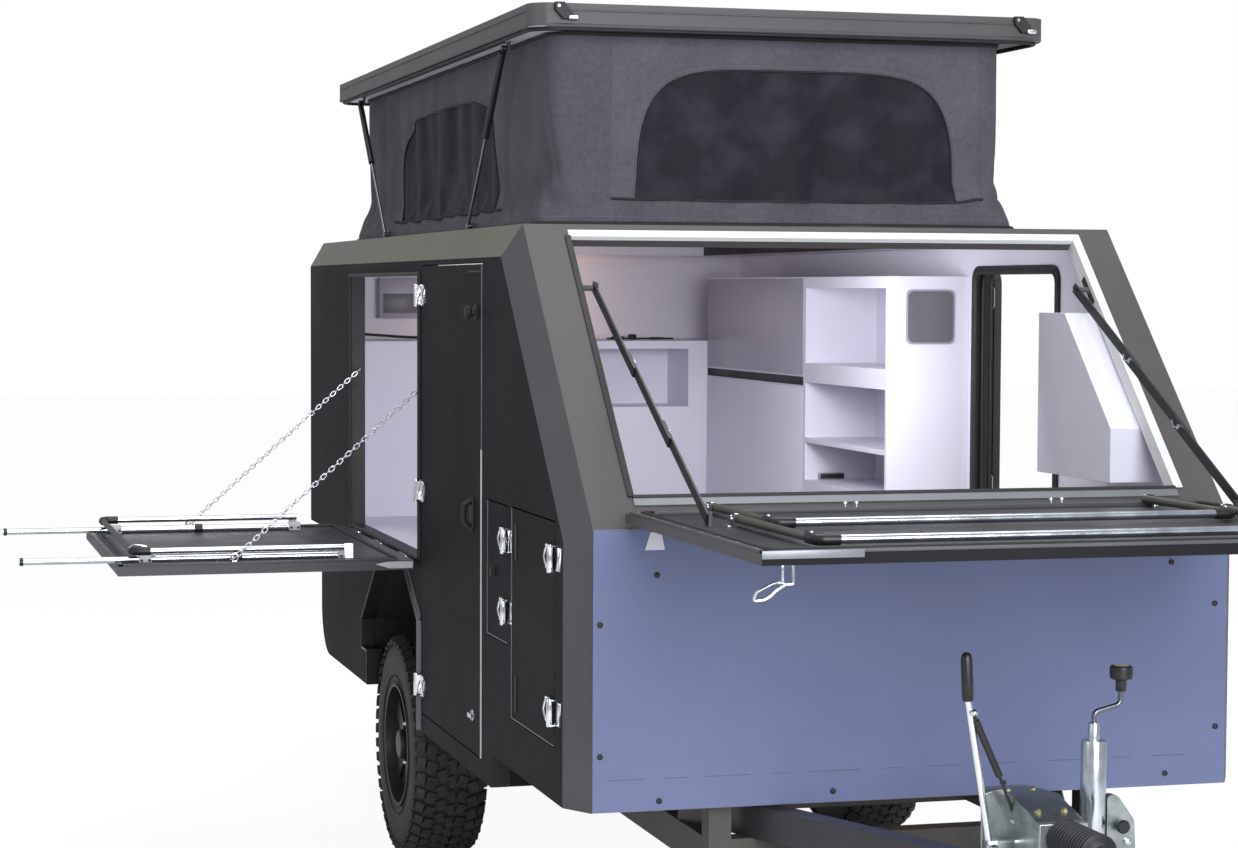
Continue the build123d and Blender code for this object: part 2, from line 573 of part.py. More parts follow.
leg_z = side_top + LEG_R + 1
for name, y in LEGS:
    sleeve = (side_in - 190, side_out + 60)
    parts["side_flap"] += rod((sleeve[0], y, leg_z), (sleeve[1], y, leg_z), LEG_R, LEG_R - 2) + [
        block((x - 10, x + 10), (y - 15, y + 15), (side_top, leg_z - LEG_R + 1.5))
        for x in (sleeve[0] - 30, sleeve[1] + 30)]
    leg_root, leg_tip = sleeve[1] + LEG_LAP, -SIDE_PIN[0] - LEG_REACH
    parts[f"side_leg_{name}"] = rod((leg_root, y, leg_z), (leg_tip, y, leg_z), LEG_R - 2.3)

for name, y, jamb in (("front", HATCH[0] + 25, HATCH[0]), ("rear", HATCH[1] - 25, HATCH[1])):
    eye, hook = (CHAIN_EYE[0] - BODY_HALF, y, CHAIN_EYE[1]), (-SIDE_PIN[0] - CHAIN_OUT, y, side_top + 20)
    parts[f"side_chain_{name}"] = rod(eye, hook, CHAIN_R)
    away = 1 if jamb > y else -1
    eye_start, eye_end = [(eye[0], along, eye[2]) for along in (y + away * (CHAIN_R + SOFT_GAP), jamb + away * 10)]
    parts["left_wall"] += rod(eye_start, eye_end, 5)
    parts["side_flap"] += rod((hook[0], y, side_top - 2), (hook[0], y, side_top + 15), CHAIN_R)

# ---- chassis, axle and wheels ---------------------------------------------------------------------------

rail_z = (WELL_Z - RAIL[1], WELL_Z)
rails = Part()
for sign in (-1, 1):
    rail_x = sorted((sign * (RAIL_X - RAIL[0] / 2), sign * (RAIL_X + RAIL[0] / 2)))
    rails += block(rail_x, (60, LEDGE_Y - 60), rail_z)
for y in (*CROSS_Y, LEDGE_Y - CROSS_LAST):
    rails += block((-RAIL_X, RAIL_X), (y, y + 60), rail_z)
for y in MOUNT_Y:
    for sign in (-1, 1):
        rails += block(sorted((sign * (RAIL_X - 30), sign * (RAIL_X + 30))), (y, y + 60), (WELL_Z, SILL_Z))
parts["chassis"] = rails

beam_z = (WELL_Z, WELL_Z + BEAM[1])
drawbar = Part()
for sign in (-1, 1):
    run = Vector(sign * (NOSE_X - RAIL_X), NOSE_Y - DRAW_Y, 0)
    side_step = run.normalized().cross(Vector(0, 0, 1)) * (BEAM[0] / 2)
    root, nose = Vector(sign * RAIL_X, DRAW_Y, 0), Vector(sign * NOSE_X, NOSE_Y, 0)
    corners = [root + side_step, nose + side_step, nose - side_step, root - side_step]
    outline = Polyline(*[(c.X, c.Y, beam_z[0]) for c in corners], close=True)
    drawbar += extrude(make_face(outline), amount=BEAM[1], dir=(0, 0, 1))
drawbar += block((-NOSE_X - 25, NOSE_X + 25), (NOSE_Y + NOSE_BLOCK[0], NOSE_Y + NOSE_BLOCK[1]), beam_z)
jx, jy = JOCKEY
relief = rod((jx, jy, 0), (jx, jy, JOCKEY_TOP), JOCKEY_TUBE_R + SOFT_GAP)
parts["drawbar"] = drawbar - parts["chassis"] - relief

housing_z = (beam_z[1], beam_z[1] + 100)
shaft_z = beam_z[1] + 80
coupling = block((-55, 55), (NOSE_Y + HOUSING[0], NOSE_Y + HOUSING[1]), housing_z)
coupling += rod((0, NOSE_Y - 30, shaft_z), (0, HITCH_Y + 60, shaft_z), 22)
coupling += block((-38, 38), (HITCH_Y - 45, HITCH_Y + 120), (HITCH_Z, shaft_z + 30))
coupling -= rod((0, HITCH_Y, HITCH_Z - 1), (0, HITCH_Y, HITCH_Z + BALL_DEPTH), BALL_R)
coupling -= Pos(0, HITCH_Y, HITCH_Z + BALL_DEPTH) * Sphere(BALL_R)
parts["coupling"] = coupling
bellows = [rod((0, y, shaft_z), (0, y - 16, shaft_z), r, 22.5)
           for y, r in ((NOSE_Y - 31 - 14 * k, 44 if k % 2 else 36) for k in range(13))]
parts["bellows"] = Part() + bellows

lever_y = NOSE_Y + 130
foot, grip, tip = [(x, lever_y, z) for x, z in LEVER]
strut_head, tube_end, rod_end = [(x, lever_y, z) for x, z in LEVER_STRUT]
lever = rod(foot, grip, 6.5) + rod(grip, tip, 14) + rod(strut_head, tube_end, 8) + rod(tube_end, rod_end, 4)
lever += Pos(*strut_head) * Sphere(12)
lever += block((foot[0] - 6, -50), (lever_y - 25, lever_y + 25), (housing_z[0] + 5, housing_z[0] + 45))
parts["handbrake_lever"] = lever - parts["coupling"]

jockey_tube = rod((jx, jy, JOCKEY_FOOT), (jx, jy, JOCKEY_TOP), JOCKEY_TUBE_R, JOCKEY_LEG_R + 0.5)
jockey_tube += rod((jx, jy, JOCKEY_TOP - 6), (jx, jy, JOCKEY_TOP), JOCKEY_TUBE_R)
jockey_tube += rod((jx, jy, JOCKEY_TOP), (jx, jy, JOCKEY_TOP + 42), 13)
for (dx0, dz0), (dx1, dz1) in zip(CRANK, CRANK[1:]):
    jockey_tube += rod((jx + dx0, jy, JOCKEY_TOP + dz0), (jx + dx1, jy, JOCKEY_TOP + dz1), 6)
    jockey_tube += Pos(jx + dx1, jy, JOCKEY_TOP + dz1) * Sphere(6)
knob_x = jx + CRANK[-1][0]
for low, high, radius in KNOB:
    jockey_tube += rod((knob_x, jy, JOCKEY_TOP + low), (knob_x, jy, JOCKEY_TOP + high), radius)
clamp = block((jx - 60, jx + 60), (jy - 20, jy + 20), (beam_z[1], beam_z[1] + 30))
clamp += block((jx + 15, jx + 104), (jy - 15, jy + 15), (beam_z[1], beam_z[1] + 110))
jockey_tube += clamp - rod((jx, jy, 0), (jx, jy, JOCKEY_TOP), JOCKEY_TUBE_R - 1)
parts["jockey_tube"] = jockey_tube - parts["coupling"]
wheel_y = jy - JOCKEY_TRAIL
parts["jockey_leg"] = rod((jx, jy, JOCKEY_SPLIT), (jx, jy, JOCKEY_TOP - 6 - JOCKEY_LIFT - 5), JOCKEY_LEG_R)
fork = block((jx - 45, jx + 45), (wheel_y - 30, jy + 30), (JOCKEY_SPLIT - 8, JOCKEY_SPLIT - SOFT_GAP))
wheel_z = GROUND + JOCKEY_WHEEL_R
for sign in (-1, 1):
    fork += block(sorted((jx + sign * 37, jx + sign * 43)), (wheel_y - 25, wheel_y + 25),
                  (wheel_z - 15, JOCKEY_SPLIT - 5))
fork += rod((jx - 43, wheel_y, wheel_z), (jx + 43, wheel_y, wheel_z), 8)
parts["jockey_fork"] = fork
jockey_x = (jx - JOCKEY_WHEEL_W / 2, jx + JOCKEY_WHEEL_W / 2)
parts["jockey_wheel"] = (disc((wheel_y, wheel_z), JOCKEY_WHEEL_R, jockey_x)
                         - disc((wheel_y, wheel_z), 8 + RUN_FIT, (jx - 50, jx + 50)))

arm_y = AXLE_Y - ARM_LONG
axle = block((-AXLE_HALF, AXLE_HALF), (arm_y - 40, arm_y + 40), (rail_z[0] - 80, rail_z[0]))
for sign in (-1, 1):
    arm_x = sorted((sign * (AXLE_HALF - ARM_IN), sign * (AXLE_HALF + ARM_OUT)))
    arm = block(arm_x, (arm_y - 40, AXLE_Y + 50), (rail_z[0] - 78, rail_z[0] - 2))
    axle += arm - parts["chassis"]
    axle += rod((sign * AXLE_HALF, AXLE_Y, AXLE_Z), (sign * (TYRE_OUT - 60), AXLE_Y, AXLE_Z), STUB_R)
parts["axle"] = axle

across, down = TYRE_SHOULDER
tyre_points = [(TYRE_IN, RIM_R), (TYRE_IN, TYRE_R - down), (TYRE_IN + across, TYRE_R), (TYRE_OUT - across, TYRE_R),
               (TYRE_OUT, TYRE_R - down), (TYRE_OUT, RIM_R)]
spin = Axis((0, AXLE_Y, AXLE_Z), (1, 0, 0))


def turned(points):
    """A ring about the wheels' axis, from its (X, radius) outline."""
    outline = Polyline(*[(x, AXLE_Y, AXLE_Z + r) for x, r in points], close=True)
    return revolve(make_face(outline), axis=spin)


rim_points = [(TYRE_IN + 4, RIM_R), (TYRE_OUT - 4, RIM_R), (TYRE_OUT - 4, RIM_R - 8), (TYRE_OUT - 50, RIM_R - 14),
              (TYRE_OUT - 50, STUB_R + RUN_FIT), (TYRE_OUT - 90, STUB_R + RUN_FIT), (TYRE_OUT - 90, 60),
              (TYRE_OUT - 66, 70), (TYRE_OUT - 66, RIM_R - 30), (TYRE_IN + 4, RIM_R - 12)]
tyre, rim = turned(tyre_points), turned(rim_points)
parts["tyre_right"], parts["tyre_left"] = both(tyre)
parts["rim_right"], parts["rim_left"] = both(rim)

# ---- interior -------------------------------------------------------------------------------------------

floor_top = SILL_Z + FLOOR_T
counter_top = (COUNTER_Z - COUNTER_T, COUNTER_Z)
counter = block(faces_x, (COUNTER_Y, COUNTER_Y + PANEL), (floor_top, counter_top[0]))
counter += block(faces_x, (COUNTER_Y, BODY_END - WALL), counter_top)
niche_y = (COUNTER_Y, COUNTER_Y + NICHE_DEPTH)
counter += block((NICHE[0] - PANEL, NICHE[1] + PANEL), niche_y, (NICHE_Z[0] - PANEL, counter_top[0]))
parts["rear_counter"] = counter - block(NICHE, (COUNTER_Y - 1, niche_y[1] - PANEL), NICHE_Z)

CAB_X = (FACE_HALF - CAB_DEPTH, FACE_HALF)
front_x = (CAB_X[0], CAB_X[0] + PANEL)
above_tub = ARCH_TOP + TUB_T
cupboards = block(front_x, (SHELF_Y[1], COUNTER_Y), (floor_top, CAB_TOP))
cupboards += block(CAB_X, (SHELF_Y[1], COUNTER_Y), (CAB_TOP - PANEL, CAB_TOP))
cupboards -= block((CAB_X[0] - 1, CAB_X[0] + PANEL / 2), (SHELF_Y[1] + 5, COUNTER_Y - 5), GRIP_SLOT)
parts["right_cupboards"] = cupboards

well_floor = WELL_Z + WELL_T
shelves = block(CAB_X, (SHELF_Y[0], SHELF_Y[0] + PANEL), (well_floor, CAB_TOP))
shelves += block(CAB_X, (SHELF_Y[1] - PANEL, SHELF_Y[1]), (above_tub, CAB_TOP))
for z in (above_tub, *SHELF_Z, CAB_TOP - PANEL):
    shelves += block(CAB_X, SHELF_Y, (z, z + PANEL))
for low_high in FASCIA:
    shelves += block(front_x, SHELF_Y, low_high)
shelves += block(front_x, (well_end, SHELF_Y[1]), (floor_top, SHELF_PANEL))
shelves += block(front_x, (SHELF_Y[0], well_end - WELL_T - TUB_T), (well_floor, SHELF_PANEL))
shelves += block(front_x, SHELF_Y, (above_tub, SHELF_PANEL))
shelves += block((CAB_X[1] - PANEL, CAB_X[1]), SHELF_Y, (above_tub, CAB_TOP))
parts["shelf_unit"] = shelves

bench_z = (above_tub, above_tub + BENCH_T)
bench = block((-FACE_HALF, -BENCH_HALF), (well_end, COUNTER_Y), bench_z)
bench += block((-BENCH_HALF - PANEL, -BENCH_HALF), (well_end, COUNTER_Y), (floor_top, bench_z[0]))
bench += block((-TUB_HALF, -BENCH_HALF), (well_end, well_end + PANEL), (floor_top, bench_z[0]))
parts["left_bench"] = bench

nook_in = WALL + NOOK_GAP
nook_low = on_slope((NOOK_Y[0] - nook_in * RISE) / RUN, nook_in)
nook_high = on_slope((NOOK_Z[1] - BEND_Z + nook_in * RUN) / RISE, nook_in)
parts["front_cupboard"] = prism(
    [(NOOK_Y[0], NOOK_Z[0]), nook_low, nook_high, (NOOK_Y[1], NOOK_Z[1]), (NOOK_Y[1], NOOK_Z[0])],
    (FACE_HALF - NOOK_W, FACE_HALF))

# ---- the row's own frame --------------------------------------------------------------------------------

boxes = [shape.bounding_box() for shape in parts.values()]
low = [min(getattr(box.min, axis) for box in boxes) for axis in "XYZ"]
high = [max(getattr(box.max, axis) for box in boxes) for axis in "XYZ"]
ORIGIN = ((low[0] + high[0]) / 2, (low[1] + high[1]) / 2, low[2])

os.makedirs("parts", exist_ok=True)
for name, shape in parts.items():
    export_step(Pos(-ORIGIN[0], -ORIGIN[1], -ORIGIN[2]) * shape, f"parts/{name}.step")
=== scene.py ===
import json
from math import cos, pi, radians, sin

import bmesh
import bpy
from mathutils import Matrix, Vector


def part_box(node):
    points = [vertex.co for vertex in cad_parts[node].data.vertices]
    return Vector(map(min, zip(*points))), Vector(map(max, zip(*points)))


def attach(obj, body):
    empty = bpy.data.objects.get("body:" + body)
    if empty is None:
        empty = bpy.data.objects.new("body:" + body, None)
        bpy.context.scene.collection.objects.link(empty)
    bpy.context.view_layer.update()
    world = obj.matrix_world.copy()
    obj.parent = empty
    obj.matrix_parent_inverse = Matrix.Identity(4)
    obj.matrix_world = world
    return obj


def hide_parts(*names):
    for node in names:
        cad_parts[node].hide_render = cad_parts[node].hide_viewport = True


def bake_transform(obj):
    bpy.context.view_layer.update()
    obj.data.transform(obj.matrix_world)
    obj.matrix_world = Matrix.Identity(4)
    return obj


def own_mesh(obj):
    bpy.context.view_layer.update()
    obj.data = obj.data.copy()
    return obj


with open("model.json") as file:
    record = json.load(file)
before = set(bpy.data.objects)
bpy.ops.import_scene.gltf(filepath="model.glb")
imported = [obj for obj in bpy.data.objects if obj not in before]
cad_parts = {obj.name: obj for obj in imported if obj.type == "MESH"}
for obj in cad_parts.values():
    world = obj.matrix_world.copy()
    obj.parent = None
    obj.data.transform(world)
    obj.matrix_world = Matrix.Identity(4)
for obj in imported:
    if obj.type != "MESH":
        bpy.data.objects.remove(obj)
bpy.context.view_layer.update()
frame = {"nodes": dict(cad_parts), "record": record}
scene = bpy.context.scene


# ---- camera, lights and floor --------------------------------------------------------------------------
# The viewer stands low in front of the trailer's left corner and looks past it towards the right rear,
# in a bright hall with a pale floor. Big soft lamps light the front more than the left side.

low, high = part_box("front_wall")
front_foot = 0.585
nose, middle, datum = low.y, (low.x + high.x) / 2, low.z - front_foot


def at(x, y, z):
    """A point of the trailer: x right of its middle, y behind its front wall, z above the ground."""
    return Vector((middle + x, nose + y, datum + z))


yaw, pitch, roll = 0.26119, -0.05224, 0.00356
ahead = Vector((sin(yaw) * cos(pitch), cos(yaw) * cos(pitch), sin(pitch)))
level = Vector((cos(yaw), -sin(yaw), 0))
upright = level.cross(ahead)
across = level * cos(roll) + upright * sin(roll)
upward = upright * cos(roll) - level * sin(roll)
camera = bpy.data.objects.new("camera", bpy.data.cameras.new("camera"))
turn = Matrix((across, upward, -ahead)).transposed().to_4x4()
viewer = at(-2.601, -6.324, 1.895)
sensor_mm, focal_px, picture_px = 36, 2641.1, 1238
camera.matrix_world = Matrix.Translation(viewer) @ turn
camera.data.sensor_width = sensor_mm
camera.data.lens = sensor_mm * focal_px / picture_px
camera.data.shift_x, camera.data.shift_y = 0.0313, 0.0035
camera.data.clip_end = 100
scene.collection.objects.link(camera)
scene.camera = camera
scene.view_settings.view_transform = "Standard"


def soft_lamp(name, place, aim, size, power, colour):
    """A square area lamp that looks at a point."""
    lamp = bpy.data.objects.new(name, bpy.data.lights.new(name, "AREA"))
    lamp.data.size = size
    lamp.data.energy = power
    lamp.data.color = colour
    way = Vector(aim) - Vector(place)
    lamp.matrix_world = Matrix.Translation(place) @ way.to_track_quat("-Z", "Y").to_matrix().to_4x4()
    scene.collection.objects.link(lamp)
    return lamp


soft_lamp("front_lamp", (0.6, -8.5, 3.2), (0.2, -1.5, 1.1), 4.0, 500, (0.92, 0.95, 1.0))
soft_lamp("roof_lamp", (0.5, 0.5, 7.5), (0.5, 0.5, 1.0), 6.0, 330, (1.0, 0.99, 0.97))
soft_lamp("left_lamp", (-6.5, -3.0, 3.5), (0.0, 0.0, 1.3), 4.0, 45, (1.0, 0.98, 0.96))

world = bpy.data.worlds.new("hall")
scene.world = world
world.use_nodes = True
nodes, links = world.node_tree.nodes, world.node_tree.links
nodes.clear()
path = nodes.new("ShaderNodeLightPath")
seen = nodes.new("ShaderNodeMath")
seen.operation = "MAXIMUM"
links.new(path.outputs["Is Camera Ray"], seen.inputs[0])
links.new(path.outputs["Is Transmission Ray"], seen.inputs[1])
around_light, backdrop = nodes.new("ShaderNodeBackground"), nodes.new("ShaderNodeBackground")
around_light.inputs["Color"].default_value = (0.93, 0.95, 1.0, 1)
around_light.inputs["Strength"].default_value = 0.5
backdrop.inputs["Color"].default_value = (1, 1, 1, 1)
mix = nodes.new("ShaderNodeMixShader")
links.new(seen.outputs[0], mix.inputs[0])
links.new(around_light.outputs[0], mix.inputs[1])
links.new(backdrop.outputs[0], mix.inputs[2])
links.new(mix.outputs[0], nodes.new("ShaderNodeOutputWorld").inputs[0])

hall_size, hall_middle = 60, (0, 10, 0)
bpy.ops.mesh.primitive_plane_add(size=hall_size, location=hall_middle)
floor = bpy.context.object
floor.name = "hall_floor"
pale = bpy.data.materials.new("pale_floor")
pale.use_nodes = True
nodes, links = pale.node_tree.nodes, pale.node_tree.links
nodes.clear()
path, glow = nodes.new("ShaderNodeLightPath"), nodes.new("ShaderNodeEmission")
glow.inputs["Color"].default_value = (1, 1, 1, 1)
glow.inputs["Strength"].default_value = 1.06
ground = nodes.new("ShaderNodeBsdfDiffuse")
ground.inputs["Color"].default_value = (0.8, 0.8, 0.8, 1)
glow_share = 0.88
share = nodes.new("ShaderNodeMath")
share.operation = "MULTIPLY"
share.inputs[1].default_value = glow_share
links.new(path.outputs["Is Camera Ray"], share.inputs[0])
mix = nodes.new("ShaderNodeMixShader")
links.new(share.outputs[0], mix.inputs[0])
links.new(ground.outputs[0], mix.inputs[1])
links.new(glow.outputs[0], mix.inputs[2])
links.new(mix.outputs[0], nodes.new("ShaderNodeOutputMaterial").inputs[0])
floor.data.materials.append(pale)


# ---- body shell ----------------------------------------------------------------------------------------
# Six insulated sandwich panels with aluminium skins, powder coated anthracite outside and lined with
# white board inside. They meet in wide bevels along the sides, and are glued and riveted on the seams.
# The one anthracite paint is given as lit and shaded copies by facing: painted shade on the sides,
# painted light on the bevels, slope and front, a painted highlight on the upward bevels, and a cool
# painted reflection in the front's blue.

body_of_node = {n: body for body, members in frame["record"]["behaviour"]["bodies"].items() for n in members}


def group_with(name, inputs, outputs):
    """A shader node group with its sockets, and its two end nodes."""
    group = bpy.data.node_groups.new(name, "ShaderNodeTree")
    for socket, kind, value in inputs:
        made = group.interface.new_socket(socket, in_out="INPUT", socket_type="NodeSocket" + kind)
        made.default_value = value
    for socket, kind in outputs:
        group.interface.new_socket(socket, in_out="OUTPUT", socket_type="NodeSocket" + kind)
    return group, group.nodes.new("NodeGroupInput"), group.nodes.new("NodeGroupOutput")


def wire(tree, kind, settings=None, **sockets):
    """Adds a node; i0 and so on are its sockets by number, the rest by name, and an output is linked."""
    node = tree.nodes.new("ShaderNode" + kind)
    for key, value in (settings or {}).items():
        setattr(node, key, value)
    for key, value in sockets.items():
        numbered = key[0] == "i" and key[1:].isdigit()
        socket = node.inputs[int(key[1:]) if numbered else key.replace("_", " ")]
        if isinstance(value, bpy.types.NodeSocket):
            tree.links.new(value, socket)
        else:
            socket.default_value = value
    return node


def maths(tree, operation, *values):
    """The output of a Math node, from values or other nodes' outputs."""
    return wire(tree, "Math", {"operation": operation},
                **{f"i{k}": v for k, v in enumerate(values)}).outputs[0]


# Colour that is never quite even, patches of shine, and the fine texture of a coat, rolled or cast skin.
uneven, given, made = group_with(
    "uneven_surface",
    (("Colour", "Color", (0.5, 0.5, 0.5, 1)), ("Mottle", "Float", 0.1), ("Patch Size", "Float", 0.3),
     ("Roughness", "Float", 0.5), ("Grain Size", "Float", 0.002), ("Dust", "Float", 0.0)),
    (("Colour", "Color"), ("Roughness", "Float"), ("Height", "Float")))
spot = uneven.nodes.new("ShaderNodeTexCoord").outputs["Object"]
patch_scale = maths(uneven, "DIVIDE", 1.0, given.outputs["Patch Size"])
grain_scale = maths(uneven, "DIVIDE", 1.0, given.outputs["Grain Size"])
patches = wire(uneven, "TexNoise", Vector=spot, Scale=patch_scale, Detail=5.0, Roughness=0.6).outputs[0]
grain = wire(uneven, "TexNoise", Vector=spot, Scale=grain_scale, Detail=2.0).outputs[0]
swing = wire(uneven, "MapRange", i0=patches, i1=0.3, i2=0.7, i3=-1.0, i4=1.0).outputs[0]
gain = maths(uneven, "MULTIPLY_ADD", swing, given.outputs["Mottle"], 1.0)
toned = wire(uneven, "VectorMath", {"operation": "SCALE"}, i0=given.outputs["Colour"], Scale=gain).outputs[0]
height = wire(uneven, "SeparateXYZ", i0=spot).outputs["Z"]
clean_above, dusty_below = 1.1, 0.1
lowness = wire(uneven, "MapRange", i0=height, i1=clean_above, i2=dusty_below, i3=0.0, i4=1.0).outputs[0]
dusty = maths(uneven, "MULTIPLY", lowness, patches)
dusty = maths(uneven, "MULTIPLY", dusty, given.outputs["Dust"])
road_dust = (0.24, 0.21, 0.17, 1)
coat = wire(uneven, "Mix", {"data_type": "RGBA"}, i0=dusty, i6=toned, i7=road_dust).outputs[2]
shine = maths(uneven, "MULTIPLY_ADD", swing, 0.06, given.outputs["Roughness"])
uneven.links.new(coat, made.inputs["Colour"])
uneven.links.new(shine, made.inputs["Roughness"])
uneven.links.new(grain, made.inputs["Height"])


relief_depth = 0.0004


def surface(name, colour, roughness, metallic=0.0, mottle=0.1, patch=0.3, grain=0.002, bump=0.1, dust=0.0,
            shine=0.5):
    """A material of one colour with the uneven surface on it."""
    material = bpy.data.materials.new(name)
    material.use_nodes = True
    tree = material.node_tree
    shader = tree.nodes["Principled BSDF"]
    shader.inputs["Metallic"].default_value = metallic
    shader.inputs["Specular IOR Level"].default_value = shine
    skin = tree.nodes.new("ShaderNodeGroup")
    skin.node_tree = uneven
    values = {"Colour": (*colour, 1), "Mottle": mottle, "Patch Size": patch, "Roughness": roughness,
              "Grain Size": grain, "Dust": dust}
    for socket, value in values.items():
        skin.inputs[socket].default_value = value
    relief = wire(tree, "Bump", Strength=bump, Distance=relief_depth, Height=skin.outputs["Height"])
    tree.links.new(skin.outputs["Colour"], shader.inputs["Base Color"])
    tree.links.new(skin.outputs["Roughness"], shader.inputs["Roughness"])
    tree.links.new(relief.outputs[0], shader.inputs["Normal"])
    return material


def bevelled(obj, width, segments, sharp):
    """Rounds the edges that turn by more than an angle in degrees."""
    rounding = obj.modifiers.new("rounding", "BEVEL")
    rounding.width = width
    rounding.segments = segments
    rounding.limit_method = "ANGLE"
    rounding.angle_limit = radians(sharp)
    return rounding


def seated(obj, body, replaced=(), smooth=35):
    """Shades a piece, seats it on its body, and lets it stand for the nodes that it replaces."""
    obj.data.shade_smooth()
    obj.data.set_sharp_from_angle(angle=radians(smooth))
    if replaced:
        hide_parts(*replaced)
    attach(obj, body)
    return obj


weld_within = 0.00002


def dressed(node, materials, pick, bevel=0.003, segments=2):
    """A node's panel as a merged copy with rounded edges; pick(normal, centre) gives a face its material."""
    mesh = frame["nodes"][node].data.copy()
    mesh.materials.clear()
    for material in materials:
        mesh.materials.append(material)
    work = bmesh.new()
    work.from_mesh(mesh)
    bmesh.ops.remove_doubles(work, verts=work.verts, dist=weld_within)
    bmesh.ops.dissolve_limit(work, angle_limit=radians(0.5), verts=work.verts, edges=work.edges)
    for face in work.faces:
        face.material_index = pick(face.normal, face.calc_center_median())
    work.to_mesh(mesh)
    work.free()
    obj = bpy.data.objects.new(node + "_finished", mesh)
    scene.collection.objects.link(obj)
    bevelled(obj, bevel, segments, 25).harden_normals = True
    return seated(obj, body_of_node[node], [node])


# Lit and shaded copies of the one anthracite paint: the side copy is painted shade, the bevel and slope
# copies half-lit painted light, the upward bevel copy a painted highlight, and the front copy painted light
# with the blue of a cool painted reflection.
shaded_side_coat = surface("shaded_side_coat", (0.019, 0.0185, 0.021), 0.55, mottle=0.14, patch=0.5, bump=0.12, dust=0.03,
                     shine=0.04)
half_lit_chamfer_coat = surface("half_lit_chamfer_coat", (0.078, 0.079, 0.084), 0.45, mottle=0.1, patch=0.4, bump=0.12, dust=0.1,
                      shine=0.2)
lit_top_chamfer_coat = surface("lit_top_chamfer_coat", (0.135, 0.138, 0.108), 0.45, mottle=0.12, patch=0.3, bump=0.12,
                          shine=0.3)
lit_slope_coat = surface("lit_slope_coat", (0.085, 0.079, 0.078), 0.42, mottle=0.1, patch=0.4, bump=0.12,
                      shine=0.25)
lit_front_coat = surface("lit_front_coat", (0.145, 0.172, 0.30), 0.45, mottle=0.08, patch=0.7, bump=0.12, dust=0.05,
                      shine=0.3)
lining = surface("white_lining", (0.74, 0.73, 0.8), 0.45, mottle=0.03, patch=0.8, bump=0.02, shine=0.3)
seal_black = surface("seal_black", (0.012, 0.012, 0.013), 0.55, mottle=0.15, patch=0.05, bump=0.2)
zinc = surface("bright_zinc", (0.72, 0.74, 0.76), 0.24, metallic=1.0, mottle=0.12, patch=0.02, bump=0.05)
chrome = surface("bright_chrome", (0.85, 0.86, 0.88), 0.1, metallic=1.0, mottle=0.05, patch=0.02, bump=0.02)
shell_finishes = [shaded_side_coat, half_lit_chamfer_coat, lit_top_chamfer_coat, lit_slope_coat, lit_front_coat, lining, seal_black,
                  chrome]
SIDE, BEVEL, TOP_BEVEL, SLOPE, FRONT, LINING, SEAL, CHROME = range(len(shell_finishes))
side_bevel, hinge_stand = 0.053, 0.0005
side_out = (high.x - low.x) / 2 + side_bevel


def wall_face(normal, centre):
    """Which finish a side wall's face has: the shaded copy of the paint outward, lit copies on the bevels,
    with a painted highlight on the upward ones; what stands off the panel is a hinge.
    """
    away = centre.x - middle
    if abs(away) > side_out + hinge_stand:
        return CHROME
    if normal.x * away > 0.2 * abs(away):
        if abs(normal.x) > 0.9:
            return SIDE
        return TOP_BEVEL if normal.z > 0.5 and abs(normal.y) < 0.3 else BEVEL
    return LINING if abs(normal.x) > 0.2 else SEAL


def plate_face(paint):
    """Which finish a cross panel's face has: the given lit copy of the paint, which carries painted light,
    forwards and upwards.
    """
    def pick(normal, centre):
        if normal.y < -0.5 or normal.z > 0.6:
            return paint
        return LINING if normal.y > 0.6 or normal.z < -0.6 else SEAL
    return pick


ledge_below, top_above = 0.99, 2.05


def rear_face(normal, centre):
    """The rear wall's outer skin, in the shaded copy of the paint, faces back, up at its top, and down under
    the ledge.
    """
    under_ledge = normal.z < -0.6 and centre.z < datum + ledge_below
    on_top = normal.z > 0.6 and centre.z > datum + top_above
    return SIDE if normal.y > 0.2 or on_top or under_ledge else LINING


for name, pick in (("left_wall", wall_face), ("right_wall", wall_face), ("front_wall", plate_face(FRONT)),
                   ("slope_frame", plate_face(SLOPE)), ("top_frame", plate_face(TOP_BEVEL)),
                   ("rear_wall", rear_face)):
    dressed(name, shell_finishes, pick)


# ---- trims and fasteners of the shell ------------------------------------------------------------------
# White angle trims cover the top and right edges of the front opening. Black rubber profiles line its
# other edges, the side opening and the entry doorway, and black screws hold the front panel.

least_radius = 0.00002


